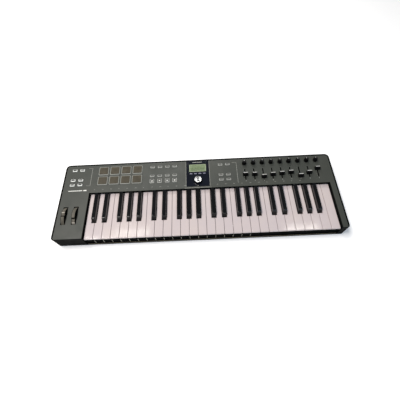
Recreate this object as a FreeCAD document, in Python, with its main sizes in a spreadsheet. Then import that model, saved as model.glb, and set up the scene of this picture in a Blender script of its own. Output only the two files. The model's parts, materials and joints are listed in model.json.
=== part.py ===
"""A 49-key MIDI keyboard with pads, knobs, faders and a display.

Frame: millimetres, +Z up, +X to the player's right, +Y away from the player. The origin is the middle of the
rectangle that the case covers, on the surface that the feet stand on. Places along X are counted from the left end
of the keys (keys_left), and places along Y from the front ends of the white keys (key_front).
"""
import FreeCAD, Part
import os
import re
import Sketcher
from FreeCAD import Placement, Rotation, Vector

DIMENSIONS = {
    # case
    "case_width": 785, "case_depth": 237, "panel_top": 50, "seam_height": 22, "foot_height": 2.5, "wall": 2.5,
    "back_corner": 13, "front_corner": 7, "rim_radius": 1.8, "left_cheek": 81.6, "side_gap": 1.5,
    "panel_start": 136, "skirt_bottom": 41, "ledge_top": 6.5,
    "boss_radius": 4, "screw_radius": 1.45, "screw_head": 3, "screw_head_height": 1.8, "screw_top": 30,
    "foot_radius": 9, "foot_reach_x": 350, "foot_reach_y": 95,
    # keys
    "key_pitch": 23.5, "key_gap": 0.9, "key_top": 39.5, "key_inset": 2, "key_skin": 2, "key_depth": 5,
    "key_side": 1.4, "key_tail": 140.5, "black_front": 48, "black_base": 12.5, "black_crown": 9.7,
    "black_rise": 11, "black_sink": 3, "black_slope": 7.5, "black_room": 14, "pair_shift": 2.5, "trio_shift": 3.2,
    "arm_width": 8, "arm_bottom": 32, "arm_top": 37.7, "arm_start": 126, "plunger_y": 86.5, "plunger_side": 4,
    "plunger_bottom": 26, "pivot_height": 27, "pivot_radius": 3, "pivot_play": 0.2, "pivot_first": 177.5,
    "pivot_step": 10, "link_half": 2.5,
    # keybed
    "bed_thickness": 2, "bed_front": 2.1, "bed_wall": 2, "bed_wall_top": 23.5, "bed_back": 202.5,
    "rail_reach": 4.5, "rail_depth": 6.5, "contact_board_z": 14, "board_thickness": 1.6, "contact_board_half": 16,
    "dome_strip": 1, "dome_radius": 3.5, "dome_height": 3,
    # boards under the panel
    "control_board_z": 41, "control_board_front": 152, "control_board_back": 220, "control_board_left": -66,
    "control_board_right": 676, "post_radius": 3,
    # display
    "display_x": 310.2, "display_width": 66.5, "display_front": 142, "display_length": 88, "bezel_thickness": 1.6,
    "bezel_proud": 0.3, "bezel_shelf": 3.2, "window_width": 50, "window_length": 26, "window_y": 205,
    "context_y": 185, "context_pitch": 12.85, "context_width": 8, "context_length": 3,
    "dial_y": 161, "dial_radius": 11.3, "dial_height": 9.2, "dial_ring_inner": 12.2, "dial_ring_outer": 14,
    "dial_ring_height": 2,
    # keypads
    "cap_width": 12.6, "cap_length": 7, "square_length": 13.4, "cap_proud": 1.2, "cap_play": 0.35,
    "web_bottom": 44.2, "web_thickness": 1.3, "web_margin": 2.4,
    # pads
    "pad_first_x": 32.7, "pad_pitch": 33.3, "pad_first_y": 174.8, "pad_width": 29, "pad_length": 28.4,
    "pad_top_width": 24.6, "pad_top_length": 23.8, "pad_step": 1.2, "pad_crown": 1.1, "pad_play": 0.4,
    "pad_flange": 1.2, "pad_flange_bottom": 45,
    # channel strips
    "strip_first": 448, "strip_pitch": 26.1, "knob_y": 212.5, "knob_radius": 6.3, "knob_top_radius": 5.7,
    "knob_height": 11.8, "knob_lift": 0.6, "shaft_radius": 3, "shaft_play": 0.05, "shaft_bottom": 43.2,
    "bush_radius": 3.8, "bush_play": 0.3, "encoder_side": 11, "encoder_height": 4.5,
    "slot_front": 157, "slot_back": 193.5, "slot_width": 3.4, "cap_x": 15, "cap_y": 9.5, "cap_top_x": 14,
    "cap_top_y": 6.5, "fader_height": 10, "fader_lift": 0.9, "lever_x": 1.2, "lever_y": 4, "lever_bottom": 44,
    "pot_x": 9, "pot_y": 46, "pot_height": 4.3, "pot_slot": 2,
    # wheels
    "pitch_x": -58.9, "mod_x": -29.9, "wheel_slot_front": 40, "wheel_slot_back": 93.5, "wheel_slot_width": 13.4,
    "wheel_radius": 33, "wheel_width": 11.4, "wheel_proud": 9.5, "wheel_hub": 7, "axle_radius": 2, "axle_play": 0.05,
    "axle_half": 10.2, "ear_gap": 8, "ear_thickness": 2.5, "ear_half": 8, "ear_rise": 5,
    "bracket_half": 15, "bracket_margin": 2, "bracket_base": 2, "dent_radius": 6, "dent_lift": 4,
    # sockets in the back wall
    "socket_z": 13, "jack_bore": 3.25, "jack_bush": 5.6, "jack_side": 14, "jack_depth": 22, "din_bore": 7.4,
    "din_bush": 8.3, "din_side": 19, "din_depth": 14, "din_bore_depth": 10, "usb_width": 9, "usb_height": 3.6,
    "usb_skin": 0.4, "usb_depth": 8, "socket_play": 0.2, "lock_width": 7, "lock_height": 3,
    "main_board_left": -365, "main_board_width": 215, "main_board_depth": 22, "main_board_back": 6,
    "main_board_z": 21.6,
}

# Places worked out from the driving dimensions, written with their names.
PLACES = {
    "keys_left": "(-case_width / 2 + left_cheek + side_gap)",
    "key_front": "(-case_depth / 2 + key_inset)",
    "bay_left": "(-case_width / 2 + left_cheek)",
    "bay_width": "(29 * key_pitch + 2 * side_gap)",
    "panel_bottom": "(panel_top - wall)",
    "panel_y": "(key_front + panel_start)",
    "floor_top": "(foot_height + wall)",
    "wheel_y": "(key_front + (wheel_slot_front + wheel_slot_back) / 2)",
    "wheel_z": "(panel_top + wheel_proud - wheel_radius)",
    "board_top": "(control_board_z + board_thickness)",
    "dial_x": "(keys_left + display_x)",
    "bezel_top": "(panel_top + bezel_proud)",
    "bezel_bottom": "(bezel_top - bezel_thickness)",
}

OCTAVES = 4
WHITES = 29
# White key that each black key follows within an octave, and how many shifts it stands off the line between whites.
BLACKS = {0: "- pair_shift", 1: "+ pair_shift", 3: "- trio_shift", 4: "", 5: "+ trio_shift"}
COMB_KEYS = {"white_comb_ceg": (0, 2, 4, 6), "white_comb_dfa": (1, 3, 5)}
STRIPS = 9
PADS = (4, 2)
FADER_PLACES = (173, 172, 163.5, 169, 171, 173.5, 160.5, 170, 183)
SCREWS = ((-382, -108), (-322, -108), (383, -108), (-382, 107), (-140, 110), (140, 110), (382, 107))
POSTS = ((-12, 190), (5, 157), (160, 157), (160, 217), (262, 190), (356, 190), (430, 157), (668, 157))
SOCKETS = {"usb": (-345,), "din": (-315,), "jack": (-285, -260), "lock": (-205,)}
# Finger wheels: how far back each one's rim reaches from straight up and how far forward its dent leans, in degrees.
WHEELS = {"pitch_wheel": ("pitch_x", 76, 0), "mod_wheel": ("mod_x", 50, 27)}
RIM_SWEEP = 152
# Keypads: places of their caps counted from the ends of the keys, and whether the front row is square.
KEYPADS = {
    "left_keypad": ((-54.5, -32), (164, 180, 214.5), False),
    "centre_keypad": ((177, 199, 221, 242.7), (166, 183.5, 214.5), True),
    "right_keypad": ((377.5, 399), (161, 177.5, 213), False),
}

doc = FreeCAD.newDocument("midi_keyboard")
sheet = doc.addObject("Spreadsheet::Sheet", "dims")
for row, (alias, value) in enumerate(DIMENSIONS.items(), start=1):
    sheet.set(f"A{row}", alias)
    sheet.set(f"B{row}", str(value))
    sheet.setAlias(f"B{row}", alias)
doc.recompute()

pieces = []


def formula(text):
    """Write a length's formula in the sheet's cells."""
    text = str(text)
    while any(re.search(rf"\b{name}\b", text) for name in PLACES):
        text = re.sub(r"\b[a-z_]+\b", lambda word: PLACES.get(word.group(0), word.group(0)), text)
    return re.sub(r"\b[a-z_]+\b", lambda word: f"<<dims>>.{word.group(0)}", text)


def value(text):
    """The number that a formula gives now."""
    spread = formula(text)
    for name in set(re.findall(r"<<dims>>\.([a-z_]+)", spread)):
        spread = re.sub(rf"<<dims>>\.{name}\b", str(sheet.get(name)), spread)
    return FreeCAD.Units.Quantity(f"({spread})").Value


def bind(thing, **formulas):
    for prop, text in formulas.items():
        thing.setExpression(prop, formula(text))
    return thing


def place(thing, x, y, z, rotation=Rotation()):
    thing.Placement = Placement(Vector(), rotation)
    for axis, text in zip("xyz", (x, y, z)):
        thing.setExpression(f"Placement.Base.{axis}", formula(text))
    return thing


def box(name, low, size):
    solid = doc.addObject("Part::Box", name)
    bind(solid, Length=size[0], Width=size[1], Height=size[2])
    return place(solid, *low)


def centred_box(name, x, y, width, length, bottom, top):
    return box(name, (f"{x} - ({width}) / 2", f"{y} - ({length}) / 2", bottom),
               (width, length, f"{top} - ({bottom})"))


def cylinder(name, base, radius, length, rotation=Rotation(), sweep=360):
    solid = doc.addObject("Part::Cylinder", name)
    bind(solid, Radius=radius, Height=length)
    solid.Angle = sweep
    return place(solid, *base, rotation)


def taper(name, x, front, back, bottom, top, width, top_width, front_slope, back_slope="0"):
    """A block whose sides lean in: a wedge stood on its base."""
    solid = doc.addObject("Part::Wedge", name)
    bind(solid, Xmin=f"-({width}) / 2", Xmax=f"({width}) / 2", Ymin="0", Ymax=f"({top}) - ({bottom})")
    bind(solid, Zmin=f"-({back})", Zmax=f"-({front})", X2min=f"-({top_width}) / 2", X2max=f"({top_width}) / 2")
    bind(solid, Z2min=f"-({back}) + ({back_slope})", Z2max=f"-({front}) - ({front_slope})")
    return place(solid, x, "0", bottom, Rotation(Vector(1, 0, 0), 90))


def fuse(name, solids):
    joined = doc.addObject("Part::MultiFuse", name)
    joined.Shapes = solids
    joined.Refine = True
    return joined


def cut(name, base, tools):
    result = doc.addObject("Part::Cut", name)
    result.Base = base
    result.Tool = tools[0] if len(tools) == 1 else fuse(f"{name}_tools", tools)
    return result


def group(name, solids):
    """Separate solids of one node."""
    joined = doc.addObject("Part::Compound", name)
    joined.Links = solids
    return joined


def keep(node, solid):
    solid.Label = node
    pieces.append(solid)
    return solid


def turned(name, x, y, profile):
    """A round piece: a closed half-profile of (radius, height) corners turned about an upright axis."""
    body = doc.addObject("PartDesign::Body", name)
    sketch = body.newObject("Sketcher::SketchObject", f"{name}_profile")
    plane = [one for one in body.Origin.OriginFeatures if one.Role == "XZ_Plane"][0]
    sketch.AttachmentSupport = [(plane, "")]
    sketch.MapMode = "FlatFace"
    corners = [Vector(value(radius), value(height), 0) for radius, height in profile]
    count = len(corners)
    for index in range(count):
        sketch.addGeometry(Part.LineSegment(corners[index], corners[(index + 1) % count]), False)
    for index in range(count):
        sketch.addConstraint(Sketcher.Constraint("Coincident", index, 2, (index + 1) % count, 1))
    for index, (radius, height) in enumerate(profile):
        for kind, text, level in (("DistanceX", radius, corners[index].x), ("DistanceY", height, corners[index].y)):
            number = sketch.addConstraint(Sketcher.Constraint(kind, -1, 1, index, 1, level))
            sketch.setExpression(f"Constraints[{number}]", formula(text))
    doc.recompute()
    turn = body.newObject("PartDesign::Revolution", f"{name}_turn")
    turn.Profile = sketch
    turn.ReferenceAxis = (sketch, ["V_Axis"])
    turn.Angle = 360
    return place(body, x, y, "0")


def upright_edges(shape, picks):
    """Numbers of the upright edges of a block, split into front and back, with their rounding radii."""
    chosen = []
    for number, edge in enumerate(shape.Edges, start=1):
        span = edge.BoundBox
        if span.ZLength > span.XLength + span.YLength:
            radius = picks["front" if span.YMin < 0 else "back"]
            chosen.append((number, radius, radius))
    return chosen


def rounded_block(name, bottom, top):
    """The case's outline between two heights, with its plan corners rounded."""
    block = centred_box(f"{name}_block", "0", "0", "case_width", "case_depth", bottom, top)
    doc.recompute()
    rounded = doc.addObject("Part::Fillet", name)
    rounded.Base = block
    picks = {"front": value("front_corner"), "back": value("back_corner")}
    rounded.Edges = upright_edges(block.Shape, picks)
    return rounded


def soften_rim(name, block, radius):
    """Round the upper rim of a block."""
    doc.recompute()
    top = block.Shape.BoundBox.ZMax
    rim = doc.addObject("Part::Fillet", name)
    rim.Base = block
    rim.Edges = [(number, radius, radius) for number, edge in enumerate(block.Shape.Edges, start=1)
                 if edge.BoundBox.ZMin > top - 0.01]
    return rim


def strip_x(index):
    return f"keys_left + strip_first + {index} * strip_pitch"


def pad_centre(column, row):
    x = f"keys_left + pad_first_x + {column} * pad_pitch"
    return x, f"key_front + pad_first_y + {row} * pad_pitch"


def keypad_caps(name):
    """Each cap's centre and length in a keypad."""
    columns, rows, square_front = KEYPADS[name]
    for row_number, y in enumerate(rows):
        length = "square_length" if square_front and row_number == 0 else "cap_length"
        for x in columns:
            yield f"keys_left + {x}", f"key_front + {y}", length


def context_x(index):
    return f"dial_x + ({index} - 1.5) * context_pitch"


def make_top_case():
    block = soften_rim("top_rim", rounded_block("top_block", "seam_height", "panel_top"), value("rim_radius"))
    inner_left = "-case_width / 2 + wall"
    deep = "panel_bottom - seam_height + 1"
    low = "seam_height - 1"
    tools = [
        box("left_hollow", (inner_left, "-case_depth / 2 + wall", low),
            ("left_cheek - 2 * wall", "case_depth - 2 * wall", deep)),
        box("panel_hollow", (inner_left, "panel_y + wall", low),
            ("case_width - 2 * wall", "case_depth / 2 - wall - panel_y - wall", deep)),
        box("right_hollow", ("bay_left + bay_width + wall", "-case_depth / 2 + wall", low),
            ("case_width / 2 - wall - bay_left - bay_width - wall", "case_depth - 2 * wall", deep)),
        box("key_bay", ("bay_left", "-case_depth / 2 - 1", low),
            ("bay_width", "panel_y + case_depth / 2 + 1", "panel_top - seam_height + 2")),
        box("key_passage", ("bay_left", "panel_y - 1", low),
            ("bay_width", "wall + 2", "skirt_bottom - seam_height + 1")),
        centred_box("bezel_recess", "dial_x", "key_front + display_front + display_length / 2", "display_width + 0.6",
                    "display_length + 0.6", "bezel_bottom", "panel_top + 1"),
        centred_box("bezel_through", "dial_x", "key_front + display_front + display_length / 2",
                    "display_width - 2 * bezel_shelf", "display_length - 2 * bezel_shelf", "panel_bottom - 1",
                    "panel_top"),
    ]
    for name, x in (("pitch_slot", "pitch_x"), ("mod_slot", "mod_x")):
        tools.append(centred_box(name, f"keys_left + {x}", "wheel_y", "wheel_slot_width",
                                 "wheel_slot_back - wheel_slot_front", "panel_bottom - 1", "panel_top + 1"))
    for column in range(PADS[0]):
        for row in range(PADS[1]):
            x, y = pad_centre(column, row)
            tools.append(centred_box("pad_hole", x, y, "pad_width + 2 * pad_play", "pad_length + 2 * pad_play",
                                     "panel_bottom - 1", "panel_top + 1"))
    for name in KEYPADS:
        for x, y, length in keypad_caps(name):
            tools.append(centred_box("cap_hole", x, y, "cap_width + 2 * cap_play", f"{length} + 2 * cap_play",
                                     "panel_bottom - 1", "panel_top + 1"))
    for index in range(STRIPS):
        tools.append(cylinder("bush_hole", (strip_x(index), "key_front + knob_y", "panel_bottom - 1"),
                              "bush_radius + bush_play", "wall + 2"))
        tools.append(box("fader_slot", (f"{strip_x(index)} - slot_width / 2", "key_front + slot_front",
                                        "panel_bottom - 1"), ("slot_width", "slot_back - slot_front", "wall + 2")))
    shell = cut("top_shell", block, tools)
    columns = [cylinder("top_boss", (x, y, "seam_height"), "boss_radius", "panel_bottom + 0.5 - seam_height")
               for x, y in SCREWS]
    columns += [cylinder("board_post", (f"keys_left + {x}", f"key_front + {y}", "board_top"), "post_radius",
                         "panel_bottom + 0.5 - board_top") for x, y in POSTS]
    pilots = [cylinder("pilot", (x, y, "seam_height - 1"), "screw_radius + 0.05", "screw_top - seam_height + 2")
              for x, y in SCREWS]
    keep("top_case", cut("top_case", fuse("top_with_bosses", [shell] + columns), pilots))


def make_bottom_case():
    block = rounded_block("bottom_block", "foot_height", "seam_height")
    inner = "-case_depth / 2 + wall"
    high = "seam_height - floor_top + 1"
    tools = [
        box("left_tray", ("-case_width / 2 + wall", inner, "floor_top"),
            ("left_cheek - 2 * wall", "case_depth - 2 * wall", high)),
        box("middle_tray", ("bay_left", "key_front + bed_front - 0.1", "floor_top"),
            ("bay_width", "case_depth / 2 - wall - key_front - bed_front + 0.1", high)),
        box("right_tray", ("bay_left + bay_width + wall", inner, "floor_top"),
            ("case_width / 2 - wall - bay_left - bay_width - wall", "case_depth - 2 * wall", high)),
        box("open_front", ("bay_left", "-case_depth / 2 - 1", "ledge_top"),
            ("bay_width", "key_inset + bed_front + bed_wall + 1", high)),
        box("behind_bay", ("-case_width / 2 + wall", "panel_y + wall", "floor_top"),
            ("case_width - 2 * wall", "case_depth / 2 - wall - panel_y - wall", high)),
    ]
    shell = cut("bottom_shell", block, tools)
    bosses = [cylinder("bottom_boss", (x, y, "floor_top - 0.5"), "boss_radius", "seam_height - floor_top + 0.5")
              for x, y in SCREWS]
    holes = []
    for x, y in SCREWS:
        holes.append(cylinder("screw_hole", (x, y, "0"), "screw_radius + 0.25", "seam_height + 1"))
        holes.append(cylinder("head_hole", (x, y, "0"), "screw_head + 0.3", "foot_height + screw_head_height + 0.4"))
    back = Rotation(Vector(1, 0, 0), -90)
    for x in SOCKETS["jack"]:
        holes.append(cylinder("jack_hole", (x, "case_depth / 2 - wall - 1", "socket_z"), "jack_bush + socket_play",
                              "wall + 2", back))
    for x in SOCKETS["din"]:
        holes.append(cylinder("din_hole", (x, "case_depth / 2 - wall - 1", "socket_z"), "din_bush + socket_play",
                              "wall + 2", back))
    for x in SOCKETS["usb"]:
        holes.append(box("usb_hole", (f"{x} - usb_width / 2 - socket_play", "case_depth / 2 - wall - 1",
                                      "socket_z - usb_height / 2 - socket_play"),
                         ("usb_width + 2 * socket_play", "wall + 2", "usb_height + 2 * socket_play")))
    for x in SOCKETS["lock"]:
        holes.append(box("lock_slot", (f"{x} - lock_width / 2", "case_depth / 2 - wall - 1",
                                       "socket_z - lock_height / 2"), ("lock_width", "wall + 2", "lock_height")))
    keep("bottom_case", cut("bottom_case", fuse("bottom_with_bosses", [shell] + bosses), holes))


def make_sockets():
    """USB, MIDI and pedal sockets that look out of the back wall."""
    face = "case_depth / 2"
    back = Rotation(Vector(1, 0, 0), -90)
    solids = []
    for kind, bush, bore, side, depth, bore_depth in (
            ("jack", "jack_bush", "jack_bore", "jack_side", "jack_depth", "jack_depth + wall - 2"),
            ("din", "din_bush", "din_bore", "din_side", "din_depth", "din_bore_depth")):
        for x in SOCKETS[kind]:
            housing = box(f"{kind}_housing", (f"{x} - {side} / 2", f"{face} - wall - {depth}", "floor_top"),
                          (side, f"{depth} - 0.2", f"socket_z + {bush} + 0.2 - floor_top"))
            bushing = cylinder(f"{kind}_bushing", (x, f"{face} - wall - 1", "socket_z"), bush, "wall + 1", back)
            hole = cylinder(f"{kind}_bore", (x, f"{face} - {bore_depth}", "socket_z"), bore, f"{bore_depth} + 1",
                            back)
            solids.append(cut(f"{kind}_socket", fuse(f"{kind}_body", [housing, bushing]), [hole]))
    for x in SOCKETS["usb"]:
        shell = box("usb_shell", (f"{x} - usb_width / 2", f"{face} - usb_depth", "socket_z - usb_height / 2"),
                    ("usb_width", "usb_depth", "usb_height"))
        mouth = box("usb_mouth", (f"{x} - usb_width / 2 + usb_skin", f"{face} - usb_depth + 1",
                                  "socket_z - usb_height / 2 + usb_skin"),
                    ("usb_width - 2 * usb_skin", "usb_depth", "usb_height - 2 * usb_skin"))
        solids.append(cut("usb_socket", shell, [mouth]))
    keep("rear_sockets", group("rear_sockets", solids))


def make_screws_and_feet():
    head = "foot_height + 0.2"
    profile = (("0", head), ("screw_head", head), ("screw_head", f"{head} + screw_head_height"),
               ("screw_radius", f"{head} + screw_head_height"), ("screw_radius", "screw_top"), ("0", "screw_top"))
    screws = [turned(f"screw_{number}", x, y, profile) for number, (x, y) in enumerate(SCREWS, start=1)]
    keep("case_screws", group("case_screws", screws))
    feet = [cylinder("foot", (f"{side} * foot_reach_x", f"{end} * foot_reach_y", "0"), "foot_radius", "foot_height")
            for side in (-1, 0, 1) for end in (-1, 1)]
    keep("rubber_feet", group("rubber_feet", feet))


def make_keybed():
    left, front = "keys_left", "key_front + bed_front"
    width = "29 * key_pitch"
    plate = box("bed_plate", (left, front, "floor_top"), (width, "bed_back - bed_front", "bed_thickness"))
    wall = box("bed_front_wall", (left, front, "floor_top"), (width, "bed_wall", "bed_wall_top - floor_top"))
    ribs = [box("board_rib", (left, f"key_front + plunger_y + ({side}) * (contact_board_half - 1) - 1", "floor_top"),
                (width, "2", "contact_board_z - floor_top")) for side in (-1, 1)]
    rail_front, rail_length = "key_front + pivot_first - rail_reach", "2 * pivot_step + 2 * rail_reach"
    rail = box("pivot_rail", (left, rail_front, "pivot_height - rail_depth"), (width, rail_length, "rail_depth"))
    webs = [box("rail_web", (left, f"{rail_front} + {end} * ({rail_length} - 2)", "floor_top"),
                (width, "2", "pivot_height - floor_top")) for end in (0, 1)]
    along = Rotation(Vector(0, 1, 0), 90)
    grooves = [cylinder("pivot_groove", (f"{left} - 1", f"key_front + pivot_first + {step} * pivot_step",
                                         "pivot_height"), "pivot_radius + pivot_play", f"{width} + 2", along)
               for step in range(3)]
    keep("keybed_chassis", cut("keybed_chassis", fuse("bed_body", [plate, wall, rail] + ribs + webs), grooves))
    y = "key_front + plunger_y"
    board_low = (f"{left} + 1", f"{y} - contact_board_half", "contact_board_z")
    keep("key_contact_board", box("key_contact_board", board_low,
                                  (f"{width} - 2", "2 * contact_board_half", "board_thickness")))
    strip_z = "contact_board_z + board_thickness"
    strip = box("dome_strip", (f"{left} + 2", f"{y} - 5", strip_z), (f"{width} - 4", "10", "dome_strip"))
    centres = [white_tail(number)[2] for number in range(WHITES)]
    centres += [black_centre(octave, number) for octave in range(OCTAVES) for number in BLACKS]
    domes = [cylinder("dome", (x, y, f"{strip_z} + dome_strip - 0.2"), "dome_radius", "dome_height")
             for x in centres]
    keep("key_domes", fuse("key_domes", [strip] + domes))


def black_centre(octave, number):
    return f"keys_left + {7 * octave + number + 1} * key_pitch {BLACKS[number]}"


def white_tail(number):
    """Left edge, right edge and middle of the part of a white key that lies between black keys."""
    octave, step = divmod(number, 7)
    left = f"keys_left + {number} * key_pitch + key_gap / 2"
    right = f"keys_left + {number + 1} * key_pitch - key_gap / 2"
    if step - 1 in BLACKS and number > 0:
        left = f"{black_centre(octave, step - 1)} + black_room / 2"
    if step in BLACKS and number < WHITES - 1:
        right = f"{black_centre(octave, step)} - black_room / 2"
    return left, right, f"(({left}) + ({right})) / 2"


def key_arm(x, pivot_y, reach_from):
    """The strip that carries a key to its pivot bar, with its foot on the bar and its contact plunger."""
    arm = box("arm", (f"{x} - arm_width / 2", reach_from, "arm_bottom"),
              ("arm_width", f"{pivot_y} + link_half - ({reach_from})", "arm_top - arm_bottom"))
    foot = box("arm_foot", (f"{x} - arm_width / 2", f"{pivot_y} - link_half", "pivot_height"),
               ("arm_width", "2 * link_half", "arm_top - pivot_height"))
    plunger = centred_box("plunger", x, "key_front + plunger_y", "plunger_side", "plunger_side", "plunger_bottom",
                          "key_top - key_skin / 2")
    return [arm, foot, plunger]


def white_key(number, pivot_y):
    """A white key: a wide front with a lip and a narrower tail between the black keys, both open below."""
    left, right, middle = white_tail(number)
    low = "key_top - key_depth"
    edge = f"keys_left + {number} * key_pitch + key_gap / 2"
    wide = "key_pitch - key_gap"
    shoulder = "black_front - 1.5"
    outside = [box("key_head", (edge, "key_front", low), (wide, shoulder, "key_depth")),
               box("key_tail", (left, "key_front", low), (f"({right}) - ({left})", "key_tail", "key_depth"))]
    below = "key_depth - key_skin + 1"
    inside = [box("head_hollow", (f"{edge} + key_side", "key_front + key_side", f"{low} - 1"),
                  (f"{wide} - 2 * key_side", f"{shoulder} - 2 * key_side", below)),
              box("tail_hollow", (f"{left} + key_side", "key_front + 10", f"{low} - 1"),
                  (f"({right}) - ({left}) - 2 * key_side", "key_tail - 10 - key_side", below))]
    shell = cut("key_shell", fuse("key_outside", outside), inside)
    return [shell] + key_arm(middle, pivot_y, "key_front + arm_start")


def black_key(octave, number, pivot_y):
    x = black_centre(octave, number)
    bottom = "key_top - black_sink"
    top = "key_top + black_rise"
    back = "panel_y - 0.8"
    front = "key_front + black_front"
    outside = taper("black_outside", x, front, back, bottom, top, "black_base", "black_crown", "black_slope")
    inside = box("black_inside", (f"{x} - black_crown / 2 + key_side", f"{front} + black_slope + key_side",
                                  f"{bottom} - 1"),
                 ("black_crown - 2 * key_side", f"{back} - ({front}) - black_slope - 2 * key_side",
                  f"{top} - ({bottom}) + 1 - key_skin"))
    plunger_root = centred_box("plunger_root", x, "key_front + plunger_y", "black_crown", "plunger_side", bottom,
                               f"{top} - key_skin / 2")
    return [cut("black_shell", outside, [inside]), plunger_root] + key_arm(x, pivot_y, "key_front + arm_start")


def pivot_bar(octave, pivot_y, keys):
    along = Rotation(Vector(0, 1, 0), 90)
    return cylinder("pivot_bar", (f"keys_left + {7 * octave} * key_pitch + 1", pivot_y, "pivot_height"),
                    "pivot_radius", f"{keys} * key_pitch - 2", along)


def make_keys():
    """Each octave has three mouldings: C-E-G-B, D-F-A and the black keys. The last one also carries the top C."""
    for octave in range(OCTAVES):
        for row, (name, steps) in enumerate(COMB_KEYS.items()):
            pivot_y = f"key_front + pivot_first + {row} * pivot_step"
            numbers = [7 * octave + step for step in steps]
            span = 7
            if octave == OCTAVES - 1 and row == 0:
                numbers.append(WHITES - 1)
                span = 8
            solids = [pivot_bar(octave, pivot_y, span)]
            for number in numbers:
                solids += white_key(number, pivot_y)
            node = f"{name}_{octave + 1}"
            keep(node, fuse(node, solids))
        pivot_y = "key_front + pivot_first + 2 * pivot_step"
        solids = [pivot_bar(octave, pivot_y, 7)]
        for number in BLACKS:
            solids += black_key(octave, number, pivot_y)
        node = f"black_comb_{octave + 1}"
        keep(node, fuse(node, solids))


def make_display():
    middle = "key_front + display_front + display_length / 2"
    plate = centred_box("bezel_plate", "dial_x", middle, "display_width", "display_length", "bezel_bottom",
                        "bezel_top")
    ring = cut("dial_ring", cylinder("ring_outside", ("dial_x", "key_front + dial_y", "bezel_top - 0.2"),
                                     "dial_ring_outer", "dial_ring_height + 0.2"),
               [cylinder("ring_inside", ("dial_x", "key_front + dial_y", "bezel_top - 1"), "dial_ring_inner",
                         "dial_ring_height + 2")])
    tools = [centred_box("window", "dial_x", "key_front + window_y", "window_width", "window_length",
                         "bezel_bottom - 1", "bezel_top + 1"),
             cylinder("dial_hole", ("dial_x", "key_front + dial_y", "bezel_bottom - 1"), "bush_radius + bush_play",
                      "bezel_thickness + 2")]
    for index in range(4):
        tools.append(centred_box("context_hole", context_x(index), "key_front + context_y",
                                 "context_width + 2 * cap_play", "context_length + 2 * cap_play",
                                 "bezel_bottom - 1", "bezel_top + 1"))
    keep("display_bezel", cut("display_bezel", fuse("bezel_with_ring", [plate, ring]), tools))
    frame = centred_box("module_frame", "dial_x", "key_front + window_y", "window_width + 6", "window_length + 6",
                        "board_top + 0.2", "panel_bottom - 0.2")
    glass = centred_box("module_glass", "dial_x", "key_front + window_y", "window_width - 0.6",
                        "window_length - 0.6", "panel_bottom - 0.4", "bezel_top - 0.6")
    keep("display_module", fuse("display_module", [frame, glass]))


def make_keypads():
    """Silicone keypads: caps that stand through the panel, joined by a web below it."""
    web_top = "web_bottom + web_thickness"
    for name, (columns, rows, square_front) in KEYPADS.items():
        solids = []
        for x, y, length in keypad_caps(name):
            solids.append(centred_box("cap", x, y, "cap_width", length, "web_bottom", "panel_top + cap_proud"))
        front_length = "square_length" if square_front else "cap_length"
        solids.append(box("web", (f"keys_left + {columns[0]} - cap_width / 2 - web_margin",
                                  f"key_front + {rows[0]} - {front_length} / 2 - web_margin", "web_bottom"),
                          (f"{columns[-1] - columns[0]} + cap_width + 2 * web_margin",
                           f"{rows[-1] - rows[0]} + ({front_length} + cap_length) / 2 + 2 * web_margin",
                           "web_thickness")))
        keep(name, fuse(name, solids))
    solids = [centred_box("context_cap", context_x(index), "key_front + context_y", "context_width",
                          "context_length", "web_bottom", "bezel_top + cap_proud - 0.3") for index in range(4)]
    solids.append(centred_box("context_web", "dial_x", "key_front + context_y", "3 * context_pitch + 12",
                              "context_length + 2.6", "web_bottom", web_top))
    keep("display_keypad", fuse("display_keypad", solids))


def make_pads():
    step_z = "panel_top + pad_step"
    number = 0
    for row in range(PADS[1]):
        for column in range(PADS[0]):
            number += 1
            x, y = pad_centre(column, row)
            body = centred_box("pad_body", x, y, "pad_width", "pad_length", "pad_flange_bottom", step_z)
            crown = centred_box("pad_crown", x, y, "pad_top_width", "pad_top_length", step_z,
                                f"{step_z} + pad_crown")
            flange = centred_box("pad_flange", x, y, "pad_width + 2 * pad_flange", "pad_length + 2 * pad_flange",
                                 "pad_flange_bottom", "pad_flange_bottom + 1.3")
            keep(f"pad_{number}", fuse(f"pad_{number}", [body, crown, flange]))


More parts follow.
